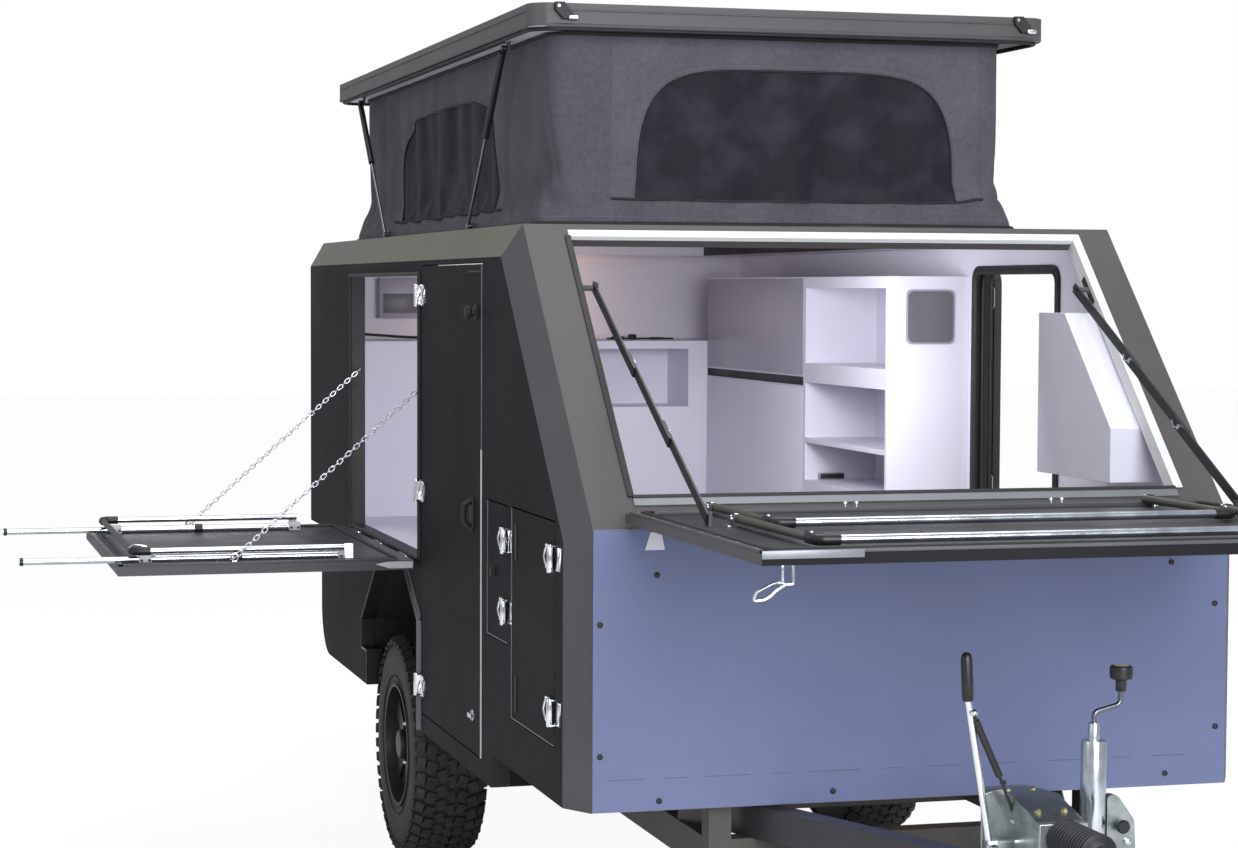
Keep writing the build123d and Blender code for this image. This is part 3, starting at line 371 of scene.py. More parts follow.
class Piece:
    """A piece put together from turned, bent and cut parts, each with its own material."""

    def __init__(self, name):
        self.name = name
        self.work = bmesh.new()
        self.materials = []

    def faces(self, corners, rings, material):
        """Adds points and the faces between them."""
        if material not in self.materials:
            self.materials.append(material)
        points = [self.work.verts.new(c) for c in corners]
        for ring in rings:
            face = self.work.faces.new([points[k] for k in ring])
            face.material_index = self.materials.index(material)
        return points

    def block(self, first, last, material, edge=0.0):
        """A box between two corners, with its edges rounded off."""
        lo = [min(a, b) for a, b in zip(first, last)]
        hi = [max(a, b) for a, b in zip(first, last)]
        corners = [(x, y, z) for x in (lo[0], hi[0]) for y in (lo[1], hi[1]) for z in (lo[2], hi[2])]
        rings = ((0, 1, 3, 2), (4, 6, 7, 5), (0, 4, 5, 1), (2, 3, 7, 6), (0, 2, 6, 4), (1, 5, 7, 3))
        points = self.faces(corners, rings, material)
        if edge:
            lines = {line for p in points for line in p.link_edges}
            bmesh.ops.bevel(self.work, geom=list(lines), offset=edge, segments=2, affect="EDGES", profile=0.5)

    def slab(self, outline, depth, material):
        """A flat plate: its outline, pushed along depth."""
        count = len(outline)
        corners = [Vector(c) for c in outline] + [Vector(c) + Vector(depth) for c in outline]
        rings = [list(range(count))[::-1], list(range(count, 2 * count))]
        rings += [(k, (k + 1) % count, (k + 1) % count + count, k + count) for k in range(count)]
        points = self.faces(corners, rings, material)
        bmesh.ops.recalc_face_normals(self.work, faces=list({f for p in points for f in p.link_faces}))

    def turned(self, base, axis, profile, material, sides=24):
        """A shape turned about an axis, from its (radius, height) profile."""
        axis = Vector(axis).normalized()
        side = axis.orthogonal().normalized()
        other = axis.cross(side)
        corners, rings = [], []
        for radius, height in profile:
            for k in range(sides):
                angle = 2 * pi * k / sides
                spoke = side * cos(angle) + other * sin(angle)
                corners.append(Vector(base) + axis * height + spoke * max(radius, least_radius))
        for row in range(len(profile) - 1):
            for k in range(sides):
                a, b = row * sides + k, row * sides + (k + 1) % sides
                rings.append((a, b, b + sides, a + sides))
        rings.append(list(range(sides))[::-1])
        rings.append(list(range(len(corners) - sides, len(corners))))
        self.faces(corners, rings, material)

    def rod(self, start, end, radius, material, sides=16):
        """A round bar between two points."""
        way = Vector(end) - Vector(start)
        self.turned(start, way, ((radius, 0), (radius, way.length)), material, sides)

    def tube(self, points, radius, material, sides=12, closed=False):
        """A round bar along a line of points, mitred at each."""
        points = [Vector(p) for p in points]
        count = len(points)
        corners, rings = [], []
        ways = []
        for k, point in enumerate(points):
            back = points[k - 1] if k or closed else point
            fore = points[(k + 1) % count] if k < count - 1 or closed else point
            ways.append((fore - back).normalized())
        side = ways[0].orthogonal().normalized()
        for point, way in zip(points, ways):
            side = (side - way * side.dot(way)).normalized()
            other = way.cross(side)
            for k in range(sides):
                angle = 2 * pi * k / sides
                corners.append(point + (side * cos(angle) + other * sin(angle)) * radius)
        for row in range(count if closed else count - 1):
            base, after = row * sides, (row + 1) % count * sides
            rings += [(base + k, base + (k + 1) % sides, after + (k + 1) % sides, after + k)
                      for k in range(sides)]
        if not closed:
            rings.append(list(range(sides))[::-1])
            rings.append(list(range(len(corners) - sides, len(corners))))
        self.faces(corners, rings, material)

    def done(self, body, slot, *replaced, bevel=0.0, smooth=35):
        """Makes the object, seats it on its body and lets it stand for what it replaces."""
        mesh = bpy.data.meshes.new(self.name)
        self.work.to_mesh(mesh)
        self.work.free()
        for material in self.materials:
            mesh.materials.append(material)
        obj = bpy.data.objects.new(self.name, mesh)
        scene.collection.objects.link(obj)
        if bevel:
            bevelled(obj, bevel, 2, 30)
        return seated(obj, body, replaced, smooth)


def rounded(corners, radius, steps=6, closed=True):
    """A line of corners with its corners rounded off."""
    corners = [Vector(c) for c in corners]
    count = len(corners)
    line = []
    for k, corner in enumerate(corners):
        if not closed and k in (0, count - 1):
            line.append(corner)
            continue
        back, fore = corners[k - 1] - corner, corners[(k + 1) % count] - corner
        cut = min(radius, back.length / 2.2, fore.length / 2.2)
        first, last = corner + back.normalized() * cut, corner + fore.normalized() * cut
        for step in range(steps + 1):
            t = step / steps
            line.append(first * (1 - t) ** 2 + corner * 2 * t * (1 - t) + last * t * t)
    return line


slope_run, slope_rise, bend_z = 0.744, 0.778, 1.299
slope_length = (slope_run * slope_run + slope_rise * slope_rise) ** 0.5
run, rise = slope_run / slope_length, slope_rise / slope_length


def slope_point(x, along, out=0.0):
    """A point of the slope: across, along from the bend, and off its face."""
    return at(x, along * run - out * rise, bend_z + along * rise + out * run)


bare_edge = surface("bare_edge", (0.22, 0.23, 0.25), 0.4, metallic=0.5, mottle=0.1, patch=0.1, bump=0.1)
white_trim = surface("white_trim", (0.74, 0.76, 0.75), 0.4, mottle=0.03, patch=0.5, bump=0.02, shine=0.3)
trims = Piece("opening_trims")
cut_half, cut_low, cut_high = 0.755, 0.103, 1.03
trim_t, trim_w, rubber_w, rubber_t, rubber_stand = 0.003, 0.022, 0.012, 0.004, 0.005
leg_deep, leg_shallow, rubber_deep = -0.04, -0.012, -0.045


def slope_strip(x0, x1, along0, along1, out0, out1, material):
    """A flat strip lying on the slope."""
    outline = [slope_point(x0, along0, out0), slope_point(x1, along0, out0),
               slope_point(x1, along1, out0), slope_point(x0, along1, out0)]
    trims.slab(outline, slope_point(0, 0, out1) - slope_point(0, 0, out0), material)


# angle trims: a face leaf on the slope and a leg into the opening
slope_strip(-cut_half, cut_half, cut_high, cut_high + trim_w, 0, trim_t, white_trim)
slope_strip(-cut_half, cut_half, cut_high - trim_t, cut_high, leg_shallow, trim_t, white_trim)
slope_strip(cut_half, cut_half + trim_w, cut_low, cut_high + trim_w, 0, trim_t, white_trim)
slope_strip(cut_half - trim_t, cut_half, cut_low, cut_high, leg_deep, trim_t, white_trim)
# rubber on the left edge, and a bare hinge strip with rubber behind it along the foot
slope_strip(-cut_half - rubber_w, -cut_half, cut_low, cut_high, 0, rubber_stand, seal_black)
slope_strip(-cut_half, -cut_half + rubber_t, cut_low, cut_high, rubber_deep, rubber_stand, seal_black)
slope_strip(-cut_half, cut_half, cut_low - 0.03, cut_low - 0.006, 0, 0.004, bare_edge)
slope_strip(-cut_half, cut_half, cut_low - 0.006, cut_low, 0, 0.006, seal_black)
slope_strip(-cut_half, cut_half, cut_low, cut_low + rubber_t, rubber_deep, rubber_stand, seal_black)


def side_loop(x, y, z, corner):
    """The rounded outline of an opening in a side, at one X."""
    return rounded([at(x, y[0], z[0]), at(x, y[0], z[1]), at(x, y[1], z[1]), at(x, y[1], z[0])], corner)


side_cut_y, side_cut_z, side_cut_corner = (1.9, 3.16), (1.04, 1.945), 0.012
doorway_y, doorway_z, doorway_corner = (1.061, 1.69), (0.552, 1.965), 0.05
for x, y, z, corner in ((-0.932, side_cut_y, side_cut_z, side_cut_corner),
                        (0.932, doorway_y, doorway_z, doorway_corner),
                        (0.876, doorway_y, doorway_z, doorway_corner)):
    trims.tube(side_loop(x, y, z, corner), 0.007, seal_black, sides=8, closed=True)
trims.done("trailer", "rubber", smooth=50)


def growing_tree(name, *inputs):
    """A Geometry Nodes tree with its inputs, and its two end nodes."""
    tree = bpy.data.node_groups.new(name, "GeometryNodeTree")
    for socket, kind in (("Geometry", "Geometry"), *inputs, ("Material", "Material")):
        tree.interface.new_socket(socket, in_out="INPUT", socket_type="NodeSocket" + kind)
    tree.interface.new_socket("Geometry", in_out="OUTPUT", socket_type="NodeSocketGeometry")
    return tree, tree.nodes.new("NodeGroupInput"), tree.nodes.new("NodeGroupOutput")


def end_tree(tree, given, made, instances):
    """Ends a tree: its instances are made real and get the material."""
    real, paint = tree.nodes.new("GeometryNodeRealizeInstances"), tree.nodes.new("GeometryNodeSetMaterial")
    tree.links.new(instances, real.inputs[0])
    tree.links.new(real.outputs[0], paint.inputs["Geometry"])
    tree.links.new(given.outputs["Material"], paint.inputs["Material"])
    tree.links.new(paint.outputs[0], made.inputs[0])
    return tree


def screw_tree():
    """Dome-headed screws on points: radius, height, sides and turn are inputs."""
    tree, given, made = growing_tree("screw_heads", ("Radius", "Float"), ("Height", "Float"),
                                     ("Sides", "Int"), ("Turn", "Vector"))
    new, link = tree.nodes.new, tree.links.new
    shank, dome, lift = (new("GeometryNodeMeshCylinder"), new("GeometryNodeMeshCone"),
                         new("GeometryNodeTransform"))
    joined, spots, put = (new("GeometryNodeJoinGeometry"), new("GeometryNodeMeshToPoints"),
                          new("GeometryNodeInstanceOnPoints"))
    up = new("ShaderNodeCombineXYZ")
    half_height = maths(tree, "MULTIPLY", given.outputs["Height"], 0.5)
    crown_radius = maths(tree, "MULTIPLY", given.outputs["Radius"], 0.6)
    dome_radius = maths(tree, "MULTIPLY", given.outputs["Radius"], 0.93)
    link(given.outputs["Sides"], shank.inputs["Vertices"])
    link(given.outputs["Radius"], shank.inputs["Radius"])
    link(given.outputs["Height"], shank.inputs["Depth"])
    link(given.outputs["Sides"], dome.inputs["Vertices"])
    link(crown_radius, dome.inputs["Radius Top"])
    link(dome_radius, dome.inputs["Radius Bottom"])
    link(half_height, dome.inputs["Depth"])
    link(half_height, up.inputs["Z"])
    link(dome.outputs["Mesh"], lift.inputs["Geometry"])
    link(up.outputs[0], lift.inputs["Translation"])
    link(shank.outputs["Mesh"], joined.inputs[0])
    link(lift.outputs[0], joined.inputs[0])
    link(given.outputs["Geometry"], spots.inputs["Mesh"])
    link(spots.outputs[0], put.inputs["Points"])
    link(joined.outputs[0], put.inputs["Instance"])
    link(given.outputs["Turn"], put.inputs["Rotation"])
    return end_tree(tree, given, made, put.outputs[0])


def grown(name, tree, points, values, edges=()):
    """Runs a Geometry Nodes tree on bare points or lines, and returns the plain mesh as an object."""
    seed = bpy.data.meshes.new(name)
    seed.from_pydata([tuple(p) for p in points], list(edges), [])
    obj = bpy.data.objects.new(name, seed)
    scene.collection.objects.link(obj)
    grow = obj.modifiers.new("grow", "NODES")
    grow.node_group = tree
    sockets = {s.name: s.identifier for s in tree.interface.items_tree if s.in_out == "INPUT"}
    for socket, value in values.items():
        grow[sockets[socket]] = value
    bpy.context.view_layer.update()
    plain = bpy.data.meshes.new_from_object(obj.evaluated_get(bpy.context.evaluated_depsgraph_get()))
    obj.modifiers.clear()
    plain.shade_smooth()
    plain.set_sharp_from_angle(angle=radians(40))
    obj.data = plain
    return obj


screw_heads = screw_tree()
UPWARD, FORWARD, LEFTWARD, RIGHTWARD = (0, 0, 0), (pi / 2, 0, 0), (0, -pi / 2, 0), (0, pi / 2, 0)


def screws(name, points, radius, height, turn, material, body, sides=12):
    """A set of like screws that face one way."""
    values = {"Radius": radius, "Height": height, "Sides": sides, "Turn": turn, "Material": material}
    obj = grown(name, screw_heads, points, values)
    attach(obj, body)
    return obj


front_screws = ((-0.710, 1.182), (-0.858, 1.060), (-0.857, 0.728), (-0.702, 0.610), (-0.236, 0.614),
                (0.236, 0.614), (0.839, 1.069), (0.846, 0.739), (0.700, 0.619), (0.71, 1.182))
screw_r, screw_tall, screw_seat = 0.0075, 0.004, -0.0015
screws("front_panel_screws", [at(x, screw_seat, z) for x, z in front_screws], screw_r, screw_tall, FORWARD,
       seal_black, "trailer")


# ---- tent of the pop-top -------------------------------------------------------------------------------
# A ring of grey cotton canvas, held in a rail around the roof opening and under the raised roof. It flares
# at its foot. Each side has an insect-mesh window, zipped along its base and sewn into a reinforced panel.

foot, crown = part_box("tent")
tent_half, tent_front, tent_rear = (crown.x - foot.x) / 2, foot.y - nose, crown.y - nose
tent_base, tent_top = foot.z - datum, crown.z - datum
corner_r, flare, flare_height, stand_out = 0.09, 0.04, 0.17, 0.012
columns, rows = 420, 26


def plan(share, inset):
    """A point of the tent's rounded outline, by its share of the way round from the middle of the front."""
    half, front, rear = tent_half + stand_out - inset, tent_front + inset, tent_rear - inset
    straight = ((0, front), (half, front), (half, rear), (-half, rear), (-half, front), (0, front))
    radius = corner_r - inset / 2
    quarter = pi / 2 * radius
    side = rear - front - 2 * radius
    lengths = [half - radius, side, 2 * (half - radius), side, half - radius]
    total = sum(lengths) + 4 * quarter
    left = share % 1 * total
    for k, length in enumerate(lengths):
        (x0, y0), (x1, y1) = straight[k], straight[k + 1]
        way = Vector((x1 - x0, y1 - y0)).normalized()
        start = Vector((x0, y0)) + (way * radius if k else Vector((0, 0)))
        if left <= length:
            return start + way * left
        left -= length
        if left <= quarter and k < 4:
            turn = left / radius
            out = Vector((way.y, -way.x))
            return start + way * length - out * radius + out * radius * cos(turn) + way * radius * sin(turn)
        left -= quarter
    return Vector((0, front))


girth = 2 * (2 * (tent_half + stand_out) + tent_rear - tent_front) - (8 - 2 * pi) * corner_r
tent_tall = tent_top - tent_base


def tent_inset(v):
    """How far the cloth stands in from its foot, at a share of its height."""
    t = min(1.0, v * tent_tall / flare_height)
    return flare * t * t * (3 - 2 * t)


canvas_mesh = bpy.data.meshes.new("tent_cloth")
spots, quads = [], []
for row in range(rows + 1):
    v = row / rows
    for column in range(columns):
        p = plan(column / columns, tent_inset(v))
        spots.append(at(p.x, p.y, tent_base + v * tent_tall))
for row in range(rows):
    for column in range(columns):
        a, b = row * columns + column, row * columns + (column + 1) % columns
        quads.append((a, b, b + columns, a + columns))
canvas_mesh.from_pydata(spots, [], quads)
uv = canvas_mesh.uv_layers.new(name="cloth")
for k in range(len(quads)):
    row, column = divmod(k, columns)
    for j, (du, dv) in enumerate(((0, 0), (1, 0), (1, 1), (0, 1))):
        u = (column + du) / columns * girth
        if column >= columns // 2:
            u -= girth
        uv.data[4 * k + j].uv = (u, (row + dv) / rows * tent_tall)
tent = bpy.data.objects.new("tent_canvas", canvas_mesh)
scene.collection.objects.link(tent)
pinned = tent.vertex_groups.new(name="held")
pinned.add([k for k in range(len(spots)) if k < columns or k >= rows * columns], 1.0, "REPLACE")
# the cut is a little larger than the frame, so the cloth falls into slack folds between its held edges
cloth = tent.modifiers.new("fall", "CLOTH")
cloth.settings.vertex_group_mass = "held"
cloth.settings.quality = 6
cloth.settings.mass = 0.25
cloth.settings.tension_stiffness = cloth.settings.compression_stiffness = 25
cloth.settings.shear_stiffness = 8
cloth.settings.bending_stiffness = 4.0
cloth.settings.shrink_min = -0.011
cloth.settings.effector_weights.gravity = 0.35
cloth.collision_settings.use_collision = False
fall_steps, swell_limit = 30, 0.03
for moment in range(1, fall_steps + 1):
    scene.frame_set(moment)
hung = bpy.data.meshes.new_from_object(tent.evaluated_get(bpy.context.evaluated_depsgraph_get()))
fallen = [v.co.copy() for v in hung.vertices]
tent.modifiers.clear()
bpy.data.meshes.remove(hung)
scene.frame_set(1)
for vertex, start, end in zip(canvas_mesh.vertices, spots, fallen):
    move = end - start
    vertex.co = start + move * min(1.0, swell_limit / max(move.length, 1e-6))

# Creases run up from the foot of each corner, where the cloth is pulled round. Each has its two ends (along
# the side from the corner, above the foot), its half width, and how far it stands out or, below 0, in.
creases = (((0.03, 0.06), (0.20, 0.34), 0.024, -0.016), ((0.01, 0.12), (0.10, 0.42), 0.02, -0.013),
           ((0.06, 0.05), (0.42, 0.20), 0.022, -0.009), ((-0.03, 0.07), (-0.24, 0.15), 0.022, 0.01))
corner_u = [tent_half + stand_out - corner_r / 2]
corner_u.append(corner_u[0] + tent_rear - tent_front - corner_r / 2)
corner_turns = [(corner_u[0], 1), (corner_u[1], -1), (girth - corner_u[1], 1), (girth - corner_u[0], -1)]
fade, growth = 0.6, 2.718
moves = []
for index in range(len(canvas_mesh.vertices)):
    row, column = divmod(index, columns)
    u, v, push = column / columns * girth, row / rows * tent_tall, 0.0
    for corner_at, turn in corner_turns:
        for (u0, v0), (u1, v1), wide, tall in creases:
            du, dv = (u - corner_at) * turn - u0, v - v0
            long_u, long_v = u1 - u0, v1 - v0
            reach = (long_u * long_u + long_v * long_v) ** 0.5
            along = (du * long_u + dv * long_v) / reach
            beside = (du * long_v - dv * long_u) / reach
            if -wide < along < reach + wide and abs(beside) < 3 * wide:
                rise_in, fall_out = (along + wide) / (2 * wide), (reach + wide - along) / (reach * fade)
                end_fade = max(0.0, min(1.0, rise_in, fall_out))
                off_middle = (beside / wide) ** 2
                ridge = (1 - off_middle) * growth ** -off_middle
                push += tall * end_fade * ridge
    moves.append(push)
for vertex, push in zip(canvas_mesh.vertices, moves):
    vertex.co += vertex.normal * push
cloth_at = [v.co.copy() for v in canvas_mesh.vertices]


def on_tent(u, v, out=0.0):
    """A point on the hung cloth, u round from the middle of the front and v up from its foot, in metres."""
    column, row = (u / girth % 1) * columns, min(max(v / tent_tall, 0), 0.9999) * rows
    c0, r0 = int(column), int(row)
    fc, fr = column - c0, row - r0
    c1 = (c0 + 1) % columns
    c0 %= columns
    low_side = cloth_at[r0 * columns + c0].lerp(cloth_at[r0 * columns + c1], fc)
    high_side = cloth_at[(r0 + 1) * columns + c0].lerp(cloth_at[(r0 + 1) * columns + c1], fc)
    along = cloth_at[r0 * columns + c1] - cloth_at[r0 * columns + c0]
    up = high_side - low_side
    return low_side.lerp(high_side, fr) + along.cross(up).normalized() * out


# Windows: the middle along the cloth, half the width, and foot and top above the cloth's foot.
quarter_round = pi / 2 * corner_r
side_start = tent_half + stand_out - corner_r + quarter_round - corner_r - tent_front
side_window_y = 2.56
windows = {"front": (0.048, 0.506, 0.093, 0.465), "right": (side_start + side_window_y, 0.77, 0.076, 0.435),
           "rear": (girth / 2, 0.5, 0.093, 0.465), "left": (-side_start - side_window_y, 0.77, 0.076, 0.435)}
panel_margin = 0.08
side_power, top_power = 5.0, 3.5

# A shader group: inside a window, inside its sewn panel, from the cloth's own UV map.
mask, given, made = group_with(
    "tent_window",
    (("Middle", "Float", 0.0), ("Half Width", "Float", 0.5), ("Foot", "Float", 0.1), ("Top", "Float", 0.45),
     ("Margin", "Float", 0.08)),
    (("Window", "Float"), ("Panel", "Float")))
place = wire(mask, "SeparateXYZ", i0=wire(mask, "UVMap", {"uv_map": "cloth"}).outputs[0])
off = maths(mask, "SUBTRACT", place.outputs["X"], given.outputs["Middle"])
off = maths(mask, "ABSOLUTE", off)
across_share = maths(mask, "DIVIDE", off, given.outputs["Half Width"])
rise_over = maths(mask, "SUBTRACT", place.outputs["Y"], given.outputs["Foot"])
tall = maths(mask, "SUBTRACT", given.outputs["Top"], given.outputs["Foot"])
up_share = maths(mask, "DIVIDE", rise_over, tall)
above = maths(mask, "GREATER_THAN", up_share, 0.0)
up_share = maths(mask, "MAXIMUM", up_share, 0.0)
round_x = maths(mask, "POWER", across_share, side_power)
round_y = maths(mask, "POWER", up_share, top_power)
total = maths(mask, "ADD", round_x, round_y)
inside = maths(mask, "LESS_THAN", total, 1.0)
window = maths(mask, "MULTIPLY", inside, above)
reach = maths(mask, "ADD", given.outputs["Half Width"], given.outputs["Margin"])
beside = maths(mask, "LESS_THAN", off, reach)
panel = maths(mask, "MULTIPLY", beside, above)
mask.links.new(window, made.inputs["Window"])
mask.links.new(panel, made.inputs["Panel"])

# A shader group: crossed threads of a cloth, from the same UV map.
weave, given, made = group_with(
    "cloth_weave", (("Thread", "Float", 0.0012), ("Slub", "Float", 0.3)),
    (("Height", "Float"), ("Shade", "Float")))
thread_uv = wire(weave, "UVMap", {"uv_map": "cloth"}).outputs[0]
count = maths(weave, "DIVIDE", pi, given.outputs["Thread"])
threads = wire(weave, "SeparateXYZ", i0=wire(weave, "VectorMath", {"operation": "SCALE"},
                                            i0=thread_uv, Scale=count).outputs[0])
warp = maths(weave, "SINE", threads.outputs["X"])
weft = maths(weave, "SINE", threads.outputs["Y"])
crossed = maths(weave, "MULTIPLY", warp, weft)
slubs = wire(weave, "TexNoise", Vector=thread_uv, Scale=60.0, Detail=4.0).outputs[0]
slubs = wire(weave, "MapRange", i0=slubs, i1=0.3, i2=0.7, i3=-1.0, i4=1.0).outputs[0]
shade = maths(weave, "MULTIPLY", slubs, given.outputs["Slub"])
weave.links.new(crossed, made.inputs["Height"])
weave.links.new(shade, made.inputs["Shade"])


def node_group(tree, group, **values):
    """Places a shader group in a material."""
    node = tree.nodes.new("ShaderNodeGroup")
    node.node_tree = group
    for socket, value in values.items():
        node.inputs[socket.replace("_", " ")].default_value = value
    return node


canvas = bpy.data.materials.new("tent_canvas")
canvas.use_nodes = True
tree = canvas.node_tree
shader = tree.nodes["Principled BSDF"]
shader.inputs["Sheen Weight"].default_value = 0.04
shader.inputs["Specular IOR Level"].default_value = 0.12
shader.inputs["Sheen Roughness"].default_value = 0.5
in_window = in_panel = 0.0
for middle_u, half_w, foot_v, top_v in windows.values():
    shape = node_group(tree, mask, Middle=middle_u, Half_Width=half_w, Foot=foot_v, Top=top_v,
                       Margin=panel_margin)
    in_window = maths(tree, "MAXIMUM", in_window, shape.outputs["Window"])
    in_panel = maths(tree, "MAXIMUM", in_panel, shape.outputs["Panel"])
skin = node_group(tree, uneven, Colour=(0.098, 0.096, 0.115, 1), Mottle=0.14, Patch_Size=0.18, Roughness=0.85,
                  Grain_Size=0.004)
cloth_threads = node_group(tree, weave, Thread=0.0016, Slub=0.12)
mesh_threads = node_group(tree, weave, Thread=0.0022, Slub=0.3)
panel_tone = wire(tree, "MapRange", i0=in_panel, i3=1.0, i4=1.12).outputs[0]
shade = maths(tree, "ADD", cloth_threads.outputs["Shade"], panel_tone)
cloth_colour = wire(tree, "VectorMath", {"operation": "SCALE"}, i0=skin.outputs["Colour"],
                    Scale=shade).outputs[0]
behind = wire(tree, "TexNoise", Vector=wire(tree, "TexCoord").outputs["Object"], Scale=9.0,
              Detail=3.0).outputs[0]
behind = wire(tree, "MapRange", i0=behind, i1=0.45, i2=0.75, i3=1.0, i4=2.2).outputs[0]
mesh_colour = wire(tree, "VectorMath", {"operation": "SCALE"}, i0=(0.017, 0.017, 0.023),
                   Scale=behind).outputs[0]
colour = wire(tree, "Mix", {"data_type": "RGBA"}, i0=in_window, i6=cloth_colour, i7=mesh_colour).outputs[2]
tree.links.new(colour, shader.inputs["Base Color"])
roughness = wire(tree, "MapRange", i0=in_window, i3=0.86, i4=0.6).outputs[0]
tree.links.new(roughness, shader.inputs["Roughness"])
relief = wire(tree, "Mix", {"data_type": "FLOAT"}, i0=in_window, i2=cloth_threads.outputs["Height"],
              i3=mesh_threads.outputs["Height"]).outputs[0]
threads_relief = wire(tree, "Bump", Strength=0.25, Distance=relief_depth, Height=relief).outputs[0]
tree.links.new(threads_relief, shader.inputs["Normal"])
canvas_mesh.materials.append(canvas)
canvas_mesh.shade_smooth()
subdivision = tent.modifiers.new("smooth", "SUBSURF")
subdivision.levels = subdivision.render_levels = 1
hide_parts("tent")
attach(tent, "trailer")

webbing = surface("black_webbing", (0.015, 0.015, 0.017), 0.75, mottle=0.15, patch=0.03, grain=0.001,
                  bump=0.4)
bindings = Piece("tent_bindings")
piping_r, base_r, rail_r, hem_r, steps = 0.0035, 0.0045, 0.009, 0.006, 40
stitch_out, strip_steps, round_steps = 0.0012, 60, 200
stitch_lines = []
for middle_u, half_w, foot_v, top_v in windows.values():
    outline = []
    for step in range(2 * steps + 1):
        turn = pi * step / (2 * steps)
        share_up = sin(turn) ** (2 / top_power)
        share_side = abs(cos(turn)) ** (2 / side_power) * (1 if step <= steps else -1)
        outline.append((middle_u + half_w * share_side, foot_v + (top_v - foot_v) * share_up))
    bindings.tube([on_tent(u, v, 0.002) for u, v in outline], piping_r, webbing, sides=6)
    reach = half_w + panel_margin
    base = [(middle_u - reach + 2 * reach * k / strip_steps, foot_v - 0.004) for k in range(strip_steps + 1)]
    bindings.tube([on_tent(u, v, 0.002) for u, v in base], base_r, webbing, sides=6)
    seam = [(middle_u + (u - middle_u) * 1.03, foot_v + (v - foot_v) * 1.035) for u, v in outline]
    stitch_lines.append([on_tent(u, v, stitch_out) for u, v in seam])
    for edge in (middle_u - reach, middle_u + reach):
        seam = [foot_v + (tent_tall - foot_v - 0.03) * k / 20 for k in range(21)]
        stitch_lines.append([on_tent(edge, v, stitch_out) for v in seam])
rail = [on_tent(girth * k / round_steps, 0.008, 0.004) for k in range(round_steps)]
bindings.tube(rail, rail_r, webbing, sides=8, closed=True)
stitch_lines.append([on_tent(girth * k / 300, 0.03, stitch_out) for k in range(300)])
hem = [on_tent(girth * k / round_steps, tent_tall - 0.006, 0.003) for k in range(round_steps)]
bindings.tube(hem, hem_r, webbing, sides=8, closed=True)
bindings = bindings.done("trailer", "canvas", smooth=60)


def repeat_tree(name, shapes):
    """Copies of a small shape along lines, aimed along them: spacing, length and width are inputs."""
    tree, given, made = growing_tree(name, ("Spacing", "Float"), ("Length", "Float"), ("Width", "Float"))
    new, link = tree.nodes.new, tree.links.new
    line, even = new("GeometryNodeMeshToCurve"), new("GeometryNodeResampleCurve")
    even.mode = "LENGTH"
    put = new("GeometryNodeInstanceOnPoints")
    tangent, aim = new("GeometryNodeInputTangent"), new("FunctionNodeAlignRotationToVector")
    aim.axis = "X"
    link(given.outputs["Geometry"], line.inputs[0])
    link(line.outputs[0], even.inputs["Curve"])
    link(given.outputs["Spacing"], even.inputs["Length"])
    link(even.outputs[0], put.inputs["Points"])
    link(tangent.outputs[0], aim.inputs["Vector"])
    shapes(tree, given, put, aim)
    return end_tree(tree, given, made, put.outputs[0])


def stitch_shape(tree, given, put, aim):
    """A stitch is a small oval bead of few sides."""
    bar = tree.nodes.new("GeometryNodeMeshUVSphere")
    bar.inputs["Segments"].default_value = 5
    bar.inputs["Rings"].default_value = 3
    bar.inputs["Radius"].default_value = 0.5
    size = tree.nodes.new("ShaderNodeCombineXYZ")
    for axis, source in zip("XYZ", ("Length", "Width", "Width")):
        tree.links.new(given.outputs[source], size.inputs[axis])
    tree.links.new(bar.outputs[0], put.inputs["Instance"])
    tree.links.new(aim.outputs[0], put.inputs["Rotation"])
    tree.links.new(size.outputs[0], put.inputs["Scale"])


stitch_tree = repeat_tree("stitches", stitch_shape)
thread = surface("grey_thread", (0.2, 0.2, 0.22), 0.7, bump=0.2)
points, edges = [], []
for line in stitch_lines:
    edges += [(len(points) + k, len(points) + k + 1) for k in range(len(line) - 1)]
    points += line
stitches = grown("tent_stitches", stitch_tree, points,
                 {"Spacing": 0.009, "Length": 0.006, "Width": 0.0016, "Material": thread}, edges)
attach(stitches, "trailer")
for piece in (tent, bindings, stitches):
    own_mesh(piece)


# ---- floor, step well and wheel arches -----------------------------------------------------------------
# The ply floor carries vinyl sheet, and drops into a welded step well between the doors. Black plastic tubs
# line the wheel arches, whose cut edges are covered by folded aluminium angles riveted to the side.

floor_vinyl = surface("floor_vinyl", (0.40, 0.36, 0.32), 0.5, mottle=0.08, patch=0.4, grain=0.006, bump=0.25)
tub_black = surface("tub_black", (0.01, 0.01, 0.011), 0.65, mottle=0.25, patch=0.15, grain=0.004, bump=0.5,
                    dust=0.5)
frame_black = surface("frame_black", (0.013, 0.013, 0.014), 0.5, mottle=0.2, patch=0.12, grain=0.003,
                      bump=0.35, dust=0.6)


def painted(material, *names):
    """Gives CAD pieces whose shape is right their finish."""
    for name in names:
        for held in frame["nodes"][name].material_slots:
            held.material = material


well_front, well_rear, well_floor = 0.9, 1.88, 0.5


def well_face(normal, centre):
    """The well is vinyl inside, and outside takes the side's shaded copy of the paint, which is painted
    shade.
    """
    inside = nose + well_front < centre.y < nose + well_rear and centre.z > datum + well_floor
    return 1 if normal.z > 0.5 or inside else 0


painted(floor_vinyl, "floor")
painted(tub_black, "wheel_tub_left", "wheel_tub_right")
dressed("step_well", [shaded_side_coat, floor_vinyl], well_face, bevel=0.002)

